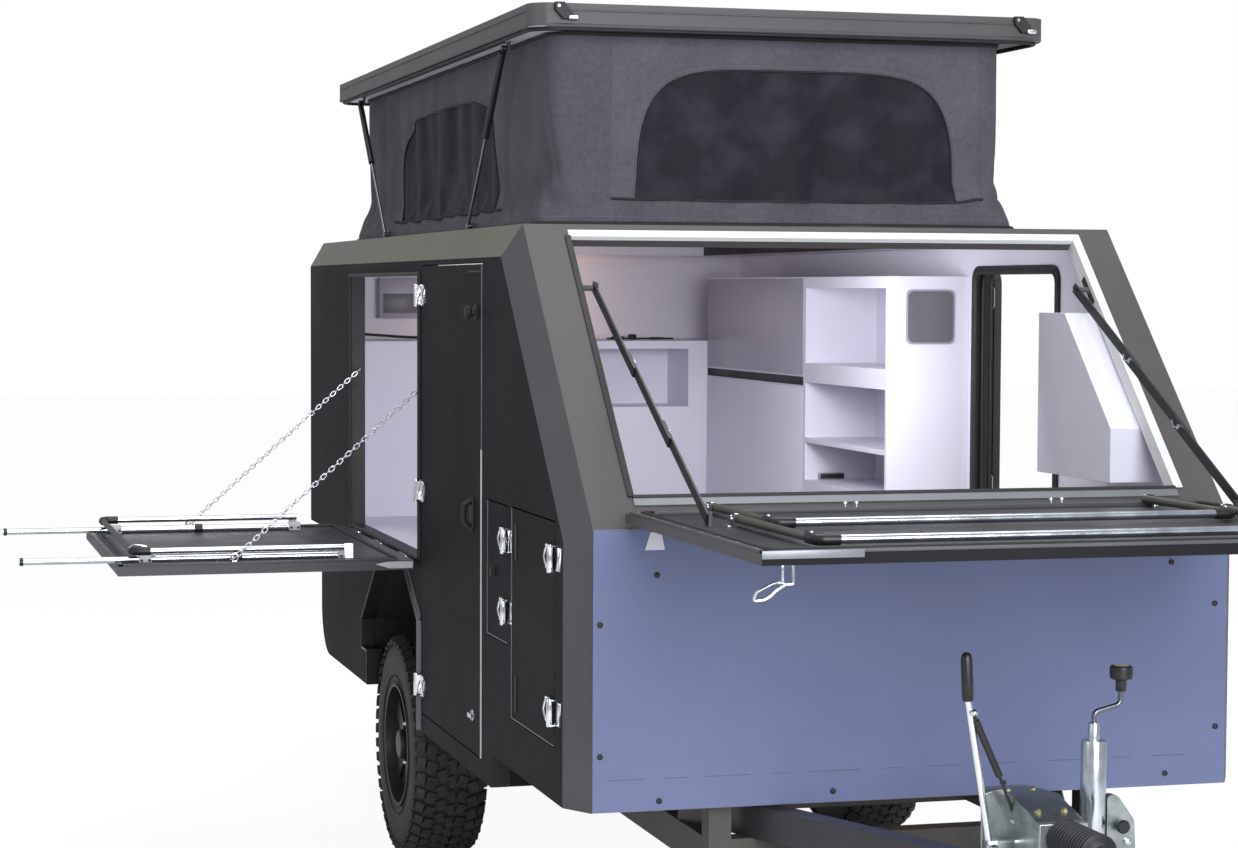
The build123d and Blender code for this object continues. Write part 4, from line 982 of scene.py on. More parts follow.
arch_line = ((1.897, 0.492), (1.897, 0.843), (2.111, 0.985), (2.59, 0.985), (2.935, 0.72), (2.935, 0.625),
             (2.832, 0.625), (2.832, 0.502))
arch_face, arch_lip, arch_stand, arch_flat, arch_t = 0.93, 0.02, 0.012, 0.004, 0.0025
arches = Piece("wheel_arch_trims")
for side in (-1, 1):
    for k, ((y0, z0), (y1, z1)) in enumerate(zip(arch_line, arch_line[1:])):
        way = Vector((y1 - y0, z1 - z0)).normalized()
        away = Vector((-way.y, way.x)) * (arch_lip if k < 3 else arch_lip * 0.4)
        face, proud = side * arch_face, side * (arch_face + (arch_stand if k < 2 else arch_flat))
        leaf = [at(face, y0, z0), at(face, y1, z1), at(face, y1 + away.x, z1 + away.y),
                at(face, y0 + away.x, z0 + away.y)]
        arches.slab(leaf, (side * arch_t, 0, 0), bare_edge)
        lip = [at(face, y0, z0), at(face, y1, z1), at(proud, y1, z1), at(proud, y0, z0)]
        arches.slab(lip, (0, away.x * 0.12, away.y * 0.12), bare_edge)
arches.done("trailer", "body_dark", bevel=0.0006)


# ---- doors ---------------------------------------------------------------------------------------------
# Flush doors of the same sandwich panel, edged in bare aluminium and sealed by a rubber. They hang on cast
# chrome hinges with bolted ears, and have a push lock, an oval pull or finger grips. The entry door is thin.
# The white strip low on the big door's front edge is a painted highlight where that edge is lit.

def door_face(normal, centre):
    """The outer skin in the shaded copy of the paint, what stands off it, the lining and the edges."""
    if middle - centre.x > side_out + hinge_stand:
        return CHROME
    return SIDE if normal.x < -0.9 else LINING if normal.x > 0.9 else SEAL


def entry_face(normal, centre):
    """The entry door stands open: its outer skin, in the shaded copy of the paint, is turned to the wall
    behind it.
    """
    if abs(normal.z) > 0.5:
        return SEAL
    return SIDE if normal.x < -0.5 else LINING if normal.x > 0.5 else SEAL


left_doors = {"big_door": (1.011, 1.868, 0.552, 1.968), "small_locker_door": (0.69, 0.935, 0.925, 1.301),
              "big_locker_door": (0.172, 0.642, 0.728, 1.303)}
hinge_rows = {"big_door": (1.879, -1, (0.612, 1.23, 1.848)), "small_locker_door": (0.681, 1, (0.985, 1.181)),
              "big_locker_door": (0.163, 1, (0.788, 1.183))}
hinge_tall, edge_w, skin = 0.06, 0.0045, -0.9302
edge_t, lit_edge_stand, lit_edge_top = 0.002, 0.0035, 1.44
pin_x, ear_t, ear_corner, bolt_in = -0.946, 0.0045, 0.006, 0.066
ear_outline = ((0.012, 0), (0.078, 0.002), (0.078, 0.016), (0.012, 0.018))
for name, (front, back, low_z, high_z) in left_doors.items():
    dressed(name, shell_finishes, door_face, bevel=0.0015)
    edges = Piece(name + "_edges")
    if name == "big_door":
        # the white strip standing on the lower front edge is a painted highlight of the lit edge
        edges.block(at(skin, front, low_z), at(skin - lit_edge_stand, front + edge_w, lit_edge_top), white_trim)
        edges.block(at(skin, front, lit_edge_top), at(skin - edge_t, front + edge_w, high_z), bare_edge)
    else:
        edges.block(at(skin, back - edge_w * 0.8, low_z), at(skin - edge_t, back, high_z), bare_edge)
        edges.block(at(skin, front, low_z), at(skin - edge_t, back, low_z + edge_w * 0.6), bare_edge)
    pin_y, toward, rows = hinge_rows[name]
    for z in rows:
        for ear_z in (z - 0.004, z + hinge_tall - 0.014):
            ear = [at(skin - 0.004, pin_y + toward * a, ear_z + b) for a, b in ear_outline]
            edges.slab(rounded(ear, ear_corner, 3), (-ear_t, 0, 0), chrome)
            edges.turned(at(skin - 0.0085, pin_y + toward * bolt_in, ear_z + 0.009), (-1, 0, 0),
                         ((0.0055, 0), (0.005, 0.002), (0.002, 0.003)), chrome, 12)
        grip = [at(skin - out, pin_y + toward * a, z + b)
                for out, a, b in ((0.009, 0.07, 0.01), (0.012, 0.074, 0.03), (0.009, 0.07, 0.05))]
        edges.tube(grip, 0.0035, chrome, 8)
        edges.turned(at(pin_x, pin_y, z - 0.006), (0, 0, 1),
                     ((0.0075, 0), (0.0085, 0.003), (0.0085, 0.069), (0.0075, 0.072)), chrome, 16)
    edges.done(name, "zinc")

locks = Piece("big_door_locks")
knob = ((0.022, 0), (0.022, 0.004), (0.013, 0.007), (0.012, 0.018), (0.019, 0.022), (0.019, 0.032),
        (0.013, 0.036))
locks.turned(at(skin, 1.08, 1.831), (-1, 0, 0), knob, seal_black, 28)
oval = rounded([at(skin, 1.108, 1.198), at(skin, 1.15, 1.198), at(skin, 1.15, 1.295), at(skin, 1.108, 1.295)],
               0.03, 8)
locks.slab(oval, (-0.006, 0, 0), seal_black)
locks.tube([at(skin - 0.004, 1.129, 1.208), at(skin - 0.026, 1.129, 1.222), at(skin - 0.028, 1.129, 1.247),
            at(skin - 0.026, 1.129, 1.272), at(skin - 0.004, 1.129, 1.286)], 0.0085, seal_black, 12)
locks.turned(at(skin, 1.112, 0.662), (-1, 0, 0), ((0.017, 0), (0.017, 0.006), (0.012, 0.009)), zinc, 24)
locks.slab([at(skin - 0.009, y, z)
            for y, z in ((1.09, 0.655), (1.134, 0.655), (1.134, 0.669), (1.09, 0.669))],
           (-0.006, 0, 0), zinc)
locks.slab([at(skin, y, z) for y, z in ((1.02, 1.945), (1.2, 1.945), (1.2, 1.951), (1.02, 1.951))],
           (-0.002, 0, 0), seal_black)
locks.done("big_door", "black_plastic", bevel=0.0008)

grips = Piece("big_locker_grips")
for z in (0.752, 1.165):
    frame_line = [at(skin, y, z + h) for y, h in ((0.582, 0), (0.598, 0), (0.598, 0.1), (0.582, 0.1))]
    grips.slab(rounded(frame_line, 0.004, 3), (-0.0025, 0, 0), seal_black)
grips.done("big_locker_door", "black_plastic")
catch = Piece("small_locker_catch")
catch.turned(at(skin, 0.847, 1.109), (-1, 0, 0), ((0.013, 0), (0.013, 0.005), (0.009, 0.008)), seal_black, 20)
catch.slab([at(skin - 0.007, y, z) for y, z in ((0.838, 1.095), (0.858, 1.1), (0.856, 1.123), (0.84, 1.12))],
           (-0.006, 0, 0), seal_black)
catch.done("small_locker_door", "black_plastic", bevel=0.001)

dressed("entry_door", shell_finishes, entry_face, bevel=0.0015)

# The doorway's rubbers, and the black band round it inside, which show through the front opening.
doorway = Piece("entry_doorway_seal")
lining_x, band_t = 0.874, 0.006
for x, radius in ((lining_x, 0.009), (0.9, 0.006)):
    doorway.tube(side_loop(x, (1.068, 1.683), (0.559, 1.958), 0.045), radius, seal_black, sides=8,
                 closed=True)
loop_out = side_loop(lining_x, (1.048, 1.703), (0.54, 1.978), 0.058)
loop_in = side_loop(lining_x, (1.064, 1.687), (0.556, 1.962), 0.048)
count = len(loop_out)
band = [(k, (k + 1) % count, (k + 1) % count + count, k + count) for k in range(count)]
lifted = [p + Vector((-band_t, 0, 0)) for p in loop_out + loop_in]
strip_faces = [tuple(reversed(ring)) for ring in band]
strip_faces += [(a + 2 * count, b + 2 * count, c + 2 * count, d + 2 * count) for a, b, c, d in band]
strip_faces += [(k, k + 2 * count, (k + 1) % count + 2 * count, (k + 1) % count) for k in range(count)]
strip_faces += [(k + count, (k + 1) % count + count, (k + 1) % count + 3 * count, k + 3 * count)
                for k in range(count)]
ring_points = doorway.faces(loop_out + loop_in + lifted, strip_faces, seal_black)
bmesh.ops.recalc_face_normals(doorway.work, faces=list({f for p in ring_points for f in p.link_faces}))
doorway.done("trailer", "rubber", smooth=50)


# ---- roof slab and struts ------------------------------------------------------------------------------
# The roof is one sandwich slab, with a folded skirt around its edge and a drip lip under it. Four gas
# struts with black tubes and bright rods hold it up, and two over-centre latches hang on its front.

liner_half, liner_front, liner_rear = 0.7, 1.05, 4.13


def slab_face(normal, centre):
    """The skirt and top are painted, and the recessed headliner is pale."""
    within = abs(centre.x - middle) < liner_half and nose + liner_front < centre.y < nose + liner_rear
    return 1 if normal.z < -0.5 and within else 0


roof_paint = surface("roof_paint", (0.092, 0.09, 0.09), 0.42, mottle=0.14, patch=0.35, grain=0.003, bump=0.15,
                     shine=0.25)
lip_paint = surface("lip_paint", (0.085, 0.084, 0.09), 0.42, mottle=0.12, patch=0.2, bump=0.15, shine=0.25)
dressed("roof_slab", [roof_paint, lining], slab_face, bevel=0.006, segments=3)
slab_half, slab_front, slab_rear = 0.795, 0.988, 4.225
slab_low, slab_high, slab_corner = 2.643, 2.711, 0.09


def slab_loop(out, z):
    """The slab's rounded plan, so far outside it, at a height."""
    corners = [at(-slab_half - out, slab_front - out, z), at(slab_half + out, slab_front - out, z),
               at(slab_half + out, slab_rear + out, z), at(-slab_half - out, slab_rear + out, z)]
    return rounded(corners, slab_corner, 10)


lips = Piece("roof_skirt_lips")
lips.tube(slab_loop(0.0, slab_low + 0.004), 0.006, lip_paint, sides=8, closed=True)
lips.tube(slab_loop(0.001, slab_high - 0.02), 0.0035, lip_paint, sides=6, closed=True)
lips.tube(slab_loop(-0.012, slab_low - 0.004), 0.007, seal_black, sides=8, closed=True)
lips.done("roof", "body_dark", smooth=60)

latches = Piece("roof_latches")
latch_outline = ((-0.028, 2.712), (0.0, 2.712), (0.03, 2.672), (0.03, 2.664), (-0.004, 2.664), (-0.028, 2.69))
for x in (-0.70, 0.71):
    front = slab_front - 0.001
    latches.slab([at(x + a, front, b) for a, b in latch_outline], (0, -0.016, 0), seal_black)
    latches.turned(at(x + 0.012, front - 0.012, 2.668), (1, 0, 0),
                   ((0.006, 0), (0.007, 0.004), (0.007, 0.026), (0.004, 0.03)), chrome, 12)
    latches.rod(at(x - 0.018, front, 2.7), at(x - 0.018, front - 0.02, 2.7), 0.005, zinc, 10)
latches.done("roof", "black_plastic", bevel=0.0015)

strut_black = surface("strut_black", (0.012, 0.012, 0.013), 0.35, mottle=0.1, patch=0.05, bump=0.08)
strut_rod = surface("strut_rod_steel", (0.25, 0.26, 0.28), 0.22, metallic=1.0, mottle=0.08, patch=0.05,
                    bump=0.05)
for where in ("front", "rear"):
    for side in ("left", "right"):
        painted(strut_black, f"strut_tube_{where}_{side}")
        painted(strut_rod, f"strut_rod_{where}_{side}")
painted(strut_black, "strut_feet")


# ---- front flap, its bows and stays --------------------------------------------------------------------
# A shallow panel tray, hinged at the bend of the front, with a folded lip and rubber around its inner face.
# Two hoops for an awning lie on it: painted arms, black corner joints and bright cross tubes. Flat black
# sections that slide on each other hold it level.

tray_paint = surface("tray_paint", (0.046, 0.045, 0.05), 0.42, mottle=0.2, patch=0.2, grain=0.003, bump=0.2,
                     shine=0.35)
olive_paint = surface("olive_paint", (0.085, 0.085, 0.068), 0.38, mottle=0.12, patch=0.08, bump=0.15)
bright_tube = surface("bright_tube", (0.62, 0.67, 0.72), 0.2, metallic=1.0, mottle=0.14, patch=0.06,
                      bump=0.06)
joint_black = surface("joint_black", (0.011, 0.011, 0.012), 0.4, mottle=0.15, patch=0.02, bump=0.25)

flap_half, flap_y, flap_z = 0.792, (-1.0474, 0.0046), (1.3134, 1.3384)


def flap_face(normal, centre):
    """The tray is grey on its inner face and painted outside, on its edges and hinges; faces at its front
    edge take the shaded copy of the paint.
    """
    if normal.z > 0.5:
        return 0
    if abs(normal.y) > 0.5 and centre.y < nose - 1.0:
        return 2
    return 1


dressed("front_flap", [tray_paint, lip_paint, shaded_side_coat], flap_face, bevel=0.002)
tray = Piece("front_flap_tray")
rim_w, rim_t = 0.016, 0.007
inner_z = flap_z[1]
rim_end = -0.03
for x0, x1, y0, y1 in ((-flap_half, -flap_half + rim_w, flap_y[0], rim_end),
                       (flap_half - rim_w, flap_half, flap_y[0], rim_end),
                       (-flap_half, flap_half, flap_y[0], flap_y[0] + rim_w)):
    tray.block(at(x0, y0, inner_z), at(x1, y1, inner_z + rim_t), lip_paint, edge=0.0015)
seal_half, seal_front, seal_back, seal_z = 0.765, -1.015, -0.04, inner_z + 0.004
seal_line = rounded([at(-seal_half, seal_back, seal_z), at(-seal_half, seal_front, seal_z),
                     at(seal_half, seal_front, seal_z), at(seal_half, seal_back, seal_z)], 0.03, 5)
tray.tube(seal_line, 0.007, seal_black, 8, closed=True)
# a lighter bare strip on the left of the front lip is a painted highlight: that part of the edge is lit, the
# rest in shade
tray.block(at(-flap_half, flap_y[0] - 0.0015, inner_z - 0.011), at(-0.56, flap_y[0], inner_z + rim_t),
           bare_edge, edge=0.0005)
tray.block(at(-0.74, -0.075, inner_z), at(0.74, -0.06, inner_z + 0.012), lip_paint, edge=0.002)
for x in (-0.235, -0.205, 0.33, 0.36):
    tray.turned(at(x, -0.0675, inner_z + 0.012), (0, 0, 1),
                ((0.004, 0), (0.004, 0.008), (0.006, 0.009), (0.005, 0.014)), zinc, 12)
for y in (-0.28, -0.62):
    tray.block(at(-0.6, y - 0.012, inner_z), at(-0.5, y + 0.012, inner_z + 0.003), seal_black, edge=0.001)
tray.done("front_flap", "body_dark")
rivet_start, rivet_step, rivet_r, rivet_tall = -0.08, 0.13, 0.0035, 0.0015
rivets = [at(side * (flap_half - 0.008), rivet_start - rivet_step * k, inner_z + rim_t)
          for side in (-1, 1) for k in range(8)]
screws("front_flap_rivets", rivets, rivet_r, rivet_tall, UPWARD, bare_edge, "front_flap", sides=10)

bow_r, elbow_r, elbow_leg = 0.01, 0.0135, 0.05
bow_z, hinge_y = 1.3584, 0.0106
for name, half, pivot, length in (("front_bow_near", 0.59, 0.1, 0.455),
                                  ("front_bow_far", 0.636, 0.425, 0.55)):
    y0, y1, z = hinge_y - pivot, hinge_y - pivot - length, bow_z
    bow = Piece(name + "_tubes")
    bow.tube([at(-half + 0.045, y1, z), at(half - 0.045, y1, z)], bow_r + 0.0005, bright_tube, 20)
    for side in (-1, 1):
        bow.tube([at(side * half, y0 + 0.012, z), at(side * half, y1 + elbow_leg, z)], bow_r, olive_paint, 18)
        bow.block(at(side * (half - 0.006), y0 + 0.004, z + 0.009),
                  at(side * (half + 0.006), y0 + 0.014, z + 0.0115), zinc, edge=0.001)
        corner = rounded([at(side * half, y1 + 0.058, z), at(side * half, y1, z),
                          at(side * (half - elbow_leg), y1, z)], 0.03, 6, closed=False)
        bow.tube(corner, elbow_r, joint_black, 16)
        bow.turned(at(side * half, y1 + 0.04, z + elbow_r - 0.001), (0, 0, 1),
                   ((0.005, 0), (0.0045, 0.003), (0.002, 0.0035)), zinc, 10)
    bow.done(name, "zinc", name, smooth=40)
    clips = Piece(name + "_clips")
    for side in (-1, 1):
        clips.block(at(side * (half + 0.016), y0 - 0.012, inner_z),
                    at(side * (half + 0.028), y0 + 0.03, inner_z + 0.004), zinc, edge=0.0008)
        clips.turned(at(side * (half + 0.015), y0, z), (side, 0, 0),
                     ((0.009, 0), (0.009, 0.004), (0.005, 0.006)), zinc, 12)
    clips.done("front_flap", "zinc")

stay_steel = surface("stay_steel", (0.02, 0.02, 0.022), 0.36, metallic=0.3, mottle=0.15, patch=0.04, bump=0.1)
stay_foot, stay_head = Vector((-0.3744, 1.3624)), Vector((0.5957, 1.9066))
stay_way = (stay_head - stay_foot).normalized()
stay_step, pitch_x, stay_x = 0.3394, 0.0053, 0.702
for side, hand in (("left", -1), ("right", 1)):
    for k, section in enumerate(("foot", "middle", "head")):
        node = f"stay_{section}_{side}"
        painted(stay_steel, node)
        fittings = Piece(node + "_fittings")
        x = hand * (stay_x + k * pitch_x)
        if k < 2:
            tip = stay_foot + stay_way * ((k + 1) * stay_step + 0.03)
            fittings.turned(at(x - hand * 0.0025, tip.x, tip.y), (-hand, 0, 0),
                            ((0.0075, 0), (0.0075, 0.004), (0.004, 0.006)), chrome, 14)
            hook = [at(x - hand * a, tip.x + b, tip.y + c)
                    for a, b, c in ((0.004, 0.012, -0.002), (0.008, 0.02, 0), (0.008, 0.03, 0.016))]
            fittings.tube(hook, 0.0022, chrome, 8)
        else:
            tip = stay_head
            fittings.turned(at(x - hand * 0.0025, tip.x, tip.y), (-hand, 0, 0),
                            ((0.011, 0), (0.011, 0.003), (0.007, 0.007)), stay_steel, 16)
        fittings.done(node, "zinc")
bracket = Piece("front_stay_brackets")
bracket_outline = ((0.80, -0.012), (0.90, -0.012), (0.90, -0.034), (0.80, -0.034))
for hand in (-1, 1):
    bracket.slab([slope_point(hand * (cut_half - 0.001), a, b) for a, b in bracket_outline],
                 (-hand * 0.003, 0, 0), stay_steel)
bracket.done("trailer", "body_dark", bevel=0.0008)


# ---- side flap, its hoop, legs and chains --------------------------------------------------------------
# The side flap is a panel on three long hinges, held by two chains. A hoop and two telescopic legs lie on it:
# bright tubes with black ends and corner joints, in clamps of white-coated cast metal.

white_cast = surface("white_cast", (0.55, 0.55, 0.56), 0.4, mottle=0.08, patch=0.02, bump=0.2)
side_x, side_y, side_z = (-1.88, -0.951), (1.895, 3.17), (1.006, 1.036)


def side_flap_face(normal, centre):
    """Grey inner face, painted outside, zinc for what stands on it, and chrome for its hinges."""
    between = nose + side_y[0] + 0.03 < centre.y < nose + side_y[1] - 0.03
    if centre.z > datum + side_z[1] + 0.002 and between:
        return 2
    if centre.x > middle + side_x[1] + 0.004:
        return 3
    return 0 if normal.z > 0.5 else 1


dressed("side_flap", [tray_paint, lip_paint, zinc, chrome], side_flap_face, bevel=0.0015)
ledge = Piece("side_flap_rim")
rim_inner = -1.0
for x0, x1, y0, y1 in ((side_x[0], rim_inner, side_y[0], side_y[0] + rim_w),
                       (side_x[0], rim_inner, side_y[1] - rim_w, side_y[1]),
                       (side_x[0], side_x[0] + rim_w, side_y[0], side_y[1])):
    ledge.block(at(x0, y0, side_z[1]), at(x1, y1, side_z[1] + rim_t), lip_paint, edge=0.0015)
rubber_x, rubber_y, rubber_z = (-1.86, rim_inner), (1.93, 3.135), 1.0385
rubber_line = [at(rubber_x[0], rubber_y[0], rubber_z), at(rubber_x[0], rubber_y[1], rubber_z),
               at(rubber_x[1], rubber_y[1], rubber_z), at(rubber_x[1], rubber_y[0], rubber_z)]
ledge.tube(rounded(rubber_line, 0.03, 5), 0.006, seal_black, 8, closed=True)
cheek = [at(x, 1.888, z)
         for x, z in ((-0.955, 1.012), (-0.955, 1.033), (-1.03, 1.033), (-1.075, 1.026), (-1.03, 1.012))]
ledge.slab(rounded(cheek, 0.004, 3), (0, 0.007, 0), white_cast)
ledge.done("side_flap", "body_dark")

hoop_y, hoop_x, hoop_z, hoop_leg = (1.96, 3.1), (-1.151, -1.83), 1.077, 0.045
hoop = Piece("side_hoop")
for y in hoop_y:
    hoop.tube([at(hoop_x[0] + 0.012, y, hoop_z), at(hoop_x[1] + hoop_leg, y, hoop_z)], bow_r, bright_tube, 18)
hoop.tube([at(hoop_x[1], hoop_y[0] + hoop_leg, hoop_z), at(hoop_x[1], hoop_y[1] - hoop_leg, hoop_z)],
          bow_r, joint_black, 16)
joint_leg = 0.055
for y, inward in zip(hoop_y, (1, -1)):
    corner = rounded([at(hoop_x[1] + joint_leg, y, hoop_z), at(hoop_x[1], y, hoop_z),
                      at(hoop_x[1], y + inward * joint_leg, hoop_z)], 0.03, 6, closed=False)
    hoop.tube(corner, elbow_r, joint_black, 16)
hoop.done("side_bow", "zinc", "side_bow", smooth=40)

clamps = Piece("side_leg_clamps")
leg_z, leg_y, leg_end = 1.0495, {"front": 1.978, "rear": 3.02}, -2.163
clamp_half_x, clamp_half_y, clamp_above = 0.02, 0.021, 0.016
collar = ((0.0125, -0.014), (0.0155, -0.012), (0.0155, 0.012), (0.0125, 0.014))
for y in leg_y.values():
    for x in (-1.16, -1.79):
        clamps.block(at(x - clamp_half_x, y - clamp_half_y, side_z[1]),
                     at(x + clamp_half_x, y + clamp_half_y, leg_z + clamp_above), white_cast, edge=0.004)
        for dx in (-0.012, 0.012):
            clamps.turned(at(x + dx, y - clamp_half_y, leg_z - 0.002), (0, -1, 0),
                          ((0.0045, 0), (0.004, 0.003)), seal_black, 10)
    clamps.turned(at(-1.5, y, leg_z), (1, 0, 0), collar, joint_black, 20)
clamps.tube([at(-1.76, 1.972, 1.064), at(-1.79, 1.968, 1.092), at(-1.825, 1.972, 1.096),
             at(-1.84, 1.975, 1.086)], 0.0035, chrome, 10)
clamps.done("side_flap", "zinc")

foot_cap = ((0.0103, 0), (0.0125, 0.001), (0.0125, 0.01), (0.009, 0.0125))
for name, y in leg_y.items():
    painted(bright_tube, f"side_leg_{name}")
    ends = Piece(f"side_leg_{name}_ends")
    ends.turned(at(leg_end, y, leg_z), (-1, 0, 0), foot_cap, joint_black, 20)
    ends.done(f"side_leg_{name}", "black_plastic")


def link_shape(tree, given, put, aim):
    """A chain link: a wire bent to an oval, every second one turned a quarter."""
    new, join = tree.nodes.new, tree.links.new
    ring, wire_section = new("GeometryNodeCurvePrimitiveCircle"), new("GeometryNodeCurvePrimitiveCircle")
    ring.inputs["Resolution"].default_value = 12
    ring.inputs["Radius"].default_value = 0.5
    wire_section.inputs["Resolution"].default_value = 6
    oval_size = new("ShaderNodeCombineXYZ")
    join(maths(tree, "MULTIPLY", given.outputs["Width"], 0.13), wire_section.inputs["Radius"])
    oval_size.inputs["Z"].default_value = 1.0
    join(given.outputs["Length"], oval_size.inputs["X"])
    join(given.outputs["Width"], oval_size.inputs["Y"])
    stretched, bent = new("GeometryNodeTransform"), new("GeometryNodeCurveToMesh")
    join(ring.outputs[0], stretched.inputs["Geometry"])
    join(oval_size.outputs[0], stretched.inputs["Scale"])
    join(stretched.outputs[0], bent.inputs["Curve"])
    join(wire_section.outputs[0], bent.inputs["Profile Curve"])
    join(bent.outputs[0], put.inputs["Instance"])
    about, turned_on = new("FunctionNodeAxisAngleToRotation"), new("FunctionNodeRotateRotation")
    about.inputs["Axis"].default_value = (1, 0, 0)
    turned_on.rotation_space = "LOCAL"
    number = new("GeometryNodeInputIndex").outputs[0]
    join(maths(tree, "MULTIPLY", number, pi / 2), about.inputs["Angle"])
    join(aim.outputs[0], turned_on.inputs[0])
    join(about.outputs[0], turned_on.inputs[1])
    join(turned_on.outputs[0], put.inputs["Rotation"])


link_tree = repeat_tree("chain_links", link_shape)
chain_zinc = surface("chain_zinc", (0.66, 0.68, 0.7), 0.26, metallic=1.0, mottle=0.15, patch=0.01, bump=0.1)
link_sizes = {"Spacing": 0.0175, "Length": 0.025, "Width": 0.013, "Material": chain_zinc}
hook_line = ((0.004, 0.012), (-0.014, 0.008), (-0.014, -0.014), (0.006, -0.014), (0.01, 0.0))
for name, y, jamb in (("front", 1.92, 1.895), ("rear", 3.145, 3.17)):
    eye, hook = at(-0.905, y, 1.6), at(-1.515, y, 1.056)
    chain = grown(f"side_chain_{name}_links", link_tree, [eye, hook], link_sizes, [(0, 1)])
    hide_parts(f"side_chain_{name}")
    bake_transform(chain)
    outward = -1 if jamb < y else 1
    eyes = Piece(f"side_chain_{name}_eye")
    eyes.block(at(-0.92, jamb + outward * 0.0005, 1.582), at(-0.89, jamb - outward * 0.003, 1.618), chrome,
               edge=0.001)
    eyes.done("trailer", "zinc")
    hooks = Piece(f"side_chain_{name}_hook")
    bent = rounded([hook + Vector((a, 0, b)) for a, b in hook_line], 0.008, 4, closed=False)
    hooks.tube(bent, 0.0032, chrome, 10)
    hooks.done("side_flap", "zinc")


# ---- cabin furniture -----------------------------------------------------------------------------------
# Cupboards, shelves and counters of white laminated board with thin edging, screwed to the walls. A grey flap
# closes a service hatch in the tall cupboard, and a warm strip light shines over the rear counter.

board = surface("white_laminate", (0.74, 0.73, 0.82), 0.42, mottle=0.03, patch=0.8, bump=0.02, shine=0.3)
grey_board = surface("grey_laminate", (0.36, 0.35, 0.41), 0.32, mottle=0.05, patch=0.4, bump=0.05)
device_grey = surface("device_grey", (0.13, 0.13, 0.15), 0.4, mottle=0.08, patch=0.1, bump=0.1)


finger_slot_z, finger_slot_half, cupboard_front = 1.575, 0.02, 0.595


def cupboard_face(normal, centre):
    """The slot for the fingers is black, as painted shade in its shallow recess."""
    in_slot = abs(centre.z - datum - finger_slot_z) < finger_slot_half
    return 1 if in_slot and centre.x > middle + cupboard_front else 0


for name in ("rear_counter", "shelf_unit", "left_bench", "front_cupboard", "locker_boxes"):
    dressed(name, [board], lambda normal, centre: 0, bevel=0.0015)
dressed("right_cupboards", [board, seal_black], cupboard_face, bevel=0.0015)

fittings = Piece("cabin_fittings")
service_x, service_z, cabinet_y, service_corner = (0.656, 0.826), (1.722, 1.902), 1.745, 0.022
for inset, depth, material in ((0, 0.003, grey_board), (0.006, 0.005, device_grey)):
    left, right = service_x[0] + inset, service_x[1] - inset
    bottom, top = service_z[0] + inset, service_z[1] - inset
    outline = rounded([at(left, cabinet_y, bottom), at(right, cabinet_y, bottom), at(right, cabinet_y, top),
                       at(left, cabinet_y, top)], service_corner, 5)
    fittings.slab(outline, (0, -depth, 0), material)
fittings.block(at(0.59, 2.552, 1.596), at(0.5922, 3.666, 1.94), grey_board, edge=0.0008)
fittings.block(at(0.59, 2.552, 0.63), at(0.5922, 3.666, 1.555), board, edge=0.0008)
fittings.block(at(0.64, 2.505, 1.2255), at(0.735, 2.52, 1.25), joint_black, edge=0.003)
rear_wall_t = 0.03
rear_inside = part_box("rear_wall")[1].y - nose - rear_wall_t
fittings.block(at(-0.654, rear_inside - 0.06, 1.781), at(-0.479, rear_inside, 1.941), grey_board, edge=0.006)
fittings.block(at(-0.64, rear_inside - 0.064, 1.80), at(-0.5, rear_inside - 0.058, 1.88), device_grey,
               edge=0.002)
counter_top = 1.6975
for x, y, size, tall in ((0.30, 3.95, 0.028, 0.012), (0.37, 3.98, 0.018, 0.02), (0.46, 3.93, 0.03, 0.009)):
    cap = ((size, 0), (size, tall * 0.7), (size * 0.85, tall))
    fittings.turned(at(x, y, counter_top), (0, 0, 1), cap, joint_black, 20)
lead_z = counter_top + 0.004
lead = [at(0.24, 3.9, lead_z), at(0.34, 3.86, lead_z), at(0.42, 3.97, lead_z), at(0.52, 3.9, lead_z)]
fittings.tube(rounded(lead, 0.06, 5, closed=False), 0.0035, seal_black, 8)
wiring = [at(x, rear_inside - off, z)
          for x, off, z in ((-0.84, 0.01, 1.93), (-0.83, 0.015, 1.8), (-0.76, 0.02, 1.72),
                            (-0.5, 0.03, 1.7025), (-0.35, 0.02, 1.7025))]
fittings.tube(rounded(wiring, 0.08, 5, closed=False), 0.005, seal_black, 8)
strip_glow = surface("warm_strip", (0.9, 0.7, 0.5), 0.5, mottle=0.05, patch=0.05)
strip_shader = strip_glow.node_tree.nodes["Principled BSDF"]
strip_shader.inputs["Emission Color"].default_value = (1.0, 0.55, 0.3, 1)
strip_shader.inputs["Emission Strength"].default_value = 2.5
fittings.block(at(-0.6, rear_inside - 0.004, 1.703), at(0.4, rear_inside, 1.713), strip_glow)
fittings.done("trailer", "white_board")
knob_points = [at(0.5905, y, 1.615) for y in (2.8, 3.4)]
screws("cupboard_studs", knob_points, 0.005, 0.003, LEFTWARD, chrome, "trailer")

for name, place, aim, size, power, colour in (
        ("cabin_lamp", (0.1, 1.5, 1.93), (0.25, 2.9, 1.1), 0.38, 6, (0.96, 0.95, 1.0)),
        ("window_lamp", (0.0, 1.0, 1.85), (0.35, 2.2, 1.35), 0.5, 9, (0.95, 0.95, 1.0)),
        ("strip_lamp", (-0.1, 3.9, 1.74), (-0.1, 4.2, 1.78), 0.3, 1.3, (1.0, 0.6, 0.38))):
    soft_lamp(name, at(*place), at(*aim), size, power, colour).visible_camera = False


# ---- chassis, drawbar and axle -------------------------------------------------------------------------
# Welded box sections, black coated, with the grit of the road on them. The stub axles of a trailing-arm beam
# carry the wheels.

